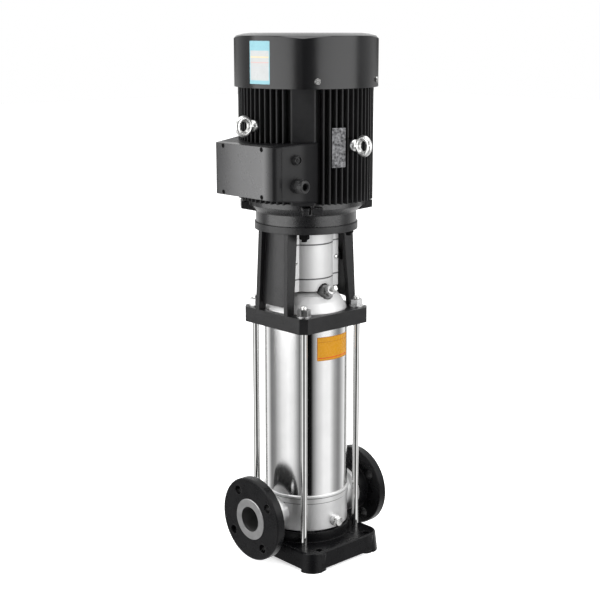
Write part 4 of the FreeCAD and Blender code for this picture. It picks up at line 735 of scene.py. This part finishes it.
def curved_sheet(centre, r, start, end, low, high, corner, thickness=0.12, steps=28):
    """Thin sheet in mm on an upright curved face, from angle start to end and height low to high."""
    width = math.radians(end - start) * r
    shape = bmesh.new()
    rim = rounded_rim(width / 2, (high - low) / 2, corner, 6)
    shape.faces.new([shape.verts.new((x, y, 0)) for x, y in rim])
    for cut in range(1, steps):
        bmesh.ops.bisect_plane(shape, geom=shape.verts[:] + shape.edges[:] + shape.faces[:],
                               plane_co=(-width / 2 + width * cut / steps, 0, 0), plane_no=(1, 0, 0))
    raised = bmesh.ops.extrude_face_region(shape, geom=shape.faces[:])
    bmesh.ops.translate(shape, verts=[v for v in raised["geom"] if isinstance(v, bmesh.types.BMVert)],
                        vec=(0, 0, thickness))
    shape.verts.index_update()
    middle = math.radians((start + end) / 2)
    verts = []
    for v in shape.verts:
        a = middle + v.co.x / r
        verts.append(Vector((centre[0] + (r + v.co.z) * math.cos(a), centre[1] + (r + v.co.z) * math.sin(a),
                             (low + high) / 2 + v.co.y)))
    faces = sorted(tuple(v.index for v in face.verts) for face in shape.faces)
    shape.free()
    return verts, faces


blue, white, pale = (0.21, 0.40, 0.45), (0.41, 0.42, 0.42), (0.40, 0.43, 0.47)
rose, straw = (0.50, 0.34, 0.32), (0.56, 0.48, 0.28)
cover_film = label_print("cover_film", [(0.937, blue), (0.9435, white), (0.966, pale), (0.9668, white),
                                        (0.9745, rose), (0.9765, white), (0.9840, straw), (0.9862, white),
                                        (0.9965, blue), (1.0142, blue)],
                         (0.25, 0.35), ("Y", -0.0157, 0.0226, blue))
piece("cover_label", [curved_sheet((20.45, 0), 151.97, 176.6, 195.3, 937, 1014, 1.2)], cover_film, "pump_body")
amber, amber_edge, red = (0.42, 0.19, 0.006), (0.30, 0.11, 0.005), (0.42, 0.06, 0.01)
sleeve_film = label_print("sleeve_film", [(0.410, amber_edge), (0.4113, amber), (0.4142, red), (0.4162, amber),
                                          (0.4460, amber_edge), (0.4472, amber), (0.4557, amber_edge),
                                          (0.4575, amber_edge)],
                          (0.22, 0.32), ("X", 0.0, 0.0378, amber_edge))
piece("sleeve_label", [curved_sheet((0, 0), 83.22, -118, -62, 410, 457, 1.5)], sleeve_film, "pump_body")


# Terminal block: a block of red moulded plastic, with six studs for the ends of the windings.
# It stands on the floor of the terminal box, behind the lid.
red_block = finish("red_block", (0.28, 0.05, 0.03), (0.34, 0.07, 0.04), 60, (0.4, 0.5), [(1200, 2, 0.00004)])
dress(red_block, "terminal_block")


# Shafts, coupling, bearings and pump stages: turned and pressed steel.
# They are clamped, pressed or stacked on each other behind the guards, in the motor and inside the sleeve.
turned_steel = drawn_steel("turned_steel", (0.58, 0.58, 0.58), (0.22, 0.34), 0.5, 0.00002, 0.0005)
dress(turned_steel, "coupling_left", "coupling_right", "pump_shaft", "motor_shaft", "shaft_nut",
      "impeller_spacers", "coupling_pin", "seal_ring", "bearing_inner_rings", "bearing_outer_rings",
      "top_chamber", "impellers", "stage_chambers")
dress(bright_zinc, "coupling_screws")


# Motor cores and windings: stacked steel sheets, and copper wire under brown varnish.
# The outer core is pressed into the frame with its windings, and the inner one onto the motor shaft.
laminations = drawn_steel("laminations", (0.30, 0.30, 0.31), (0.35, 0.5), 0.3, 0.00008)
dress(laminations, "stator_core", "rotor_core")
copper_wire = finish("copper_wire", (0.40, 0.16, 0.06), (0.52, 0.22, 0.09), 300, (0.3, 0.45), [(900, 3, 0.0003)],
                     metallic=0.6)
dress(copper_wire, "stator_windings")


# Seals, bushes and wear rings: rubber rings, lapped ceramic and plain plastic inside the pump.
# The seals lie at both ends of the sleeve, and the bushes and rings are pressed into the stages.
black_rubber = finish("black_rubber", (0.02, 0.02, 0.02), (0.03, 0.03, 0.03), 90, (0.6, 0.75),
                      [(900, 2, 0.00004)])
dress(black_rubber, "sleeve_seals")
dark_ceramic = finish("dark_ceramic", (0.10, 0.10, 0.11), (0.13, 0.13, 0.14), 200, (0.12, 0.2),
                      [(900, 2, 0.00001)])
dress(dark_ceramic, "shaft_bushes", "seal_seat")
white_plastic = finish("white_plastic", (0.70, 0.69, 0.64), (0.76, 0.75, 0.70), 90, (0.4, 0.5),
                       [(900, 2, 0.00003)])
dress(white_plastic, "wear_rings")
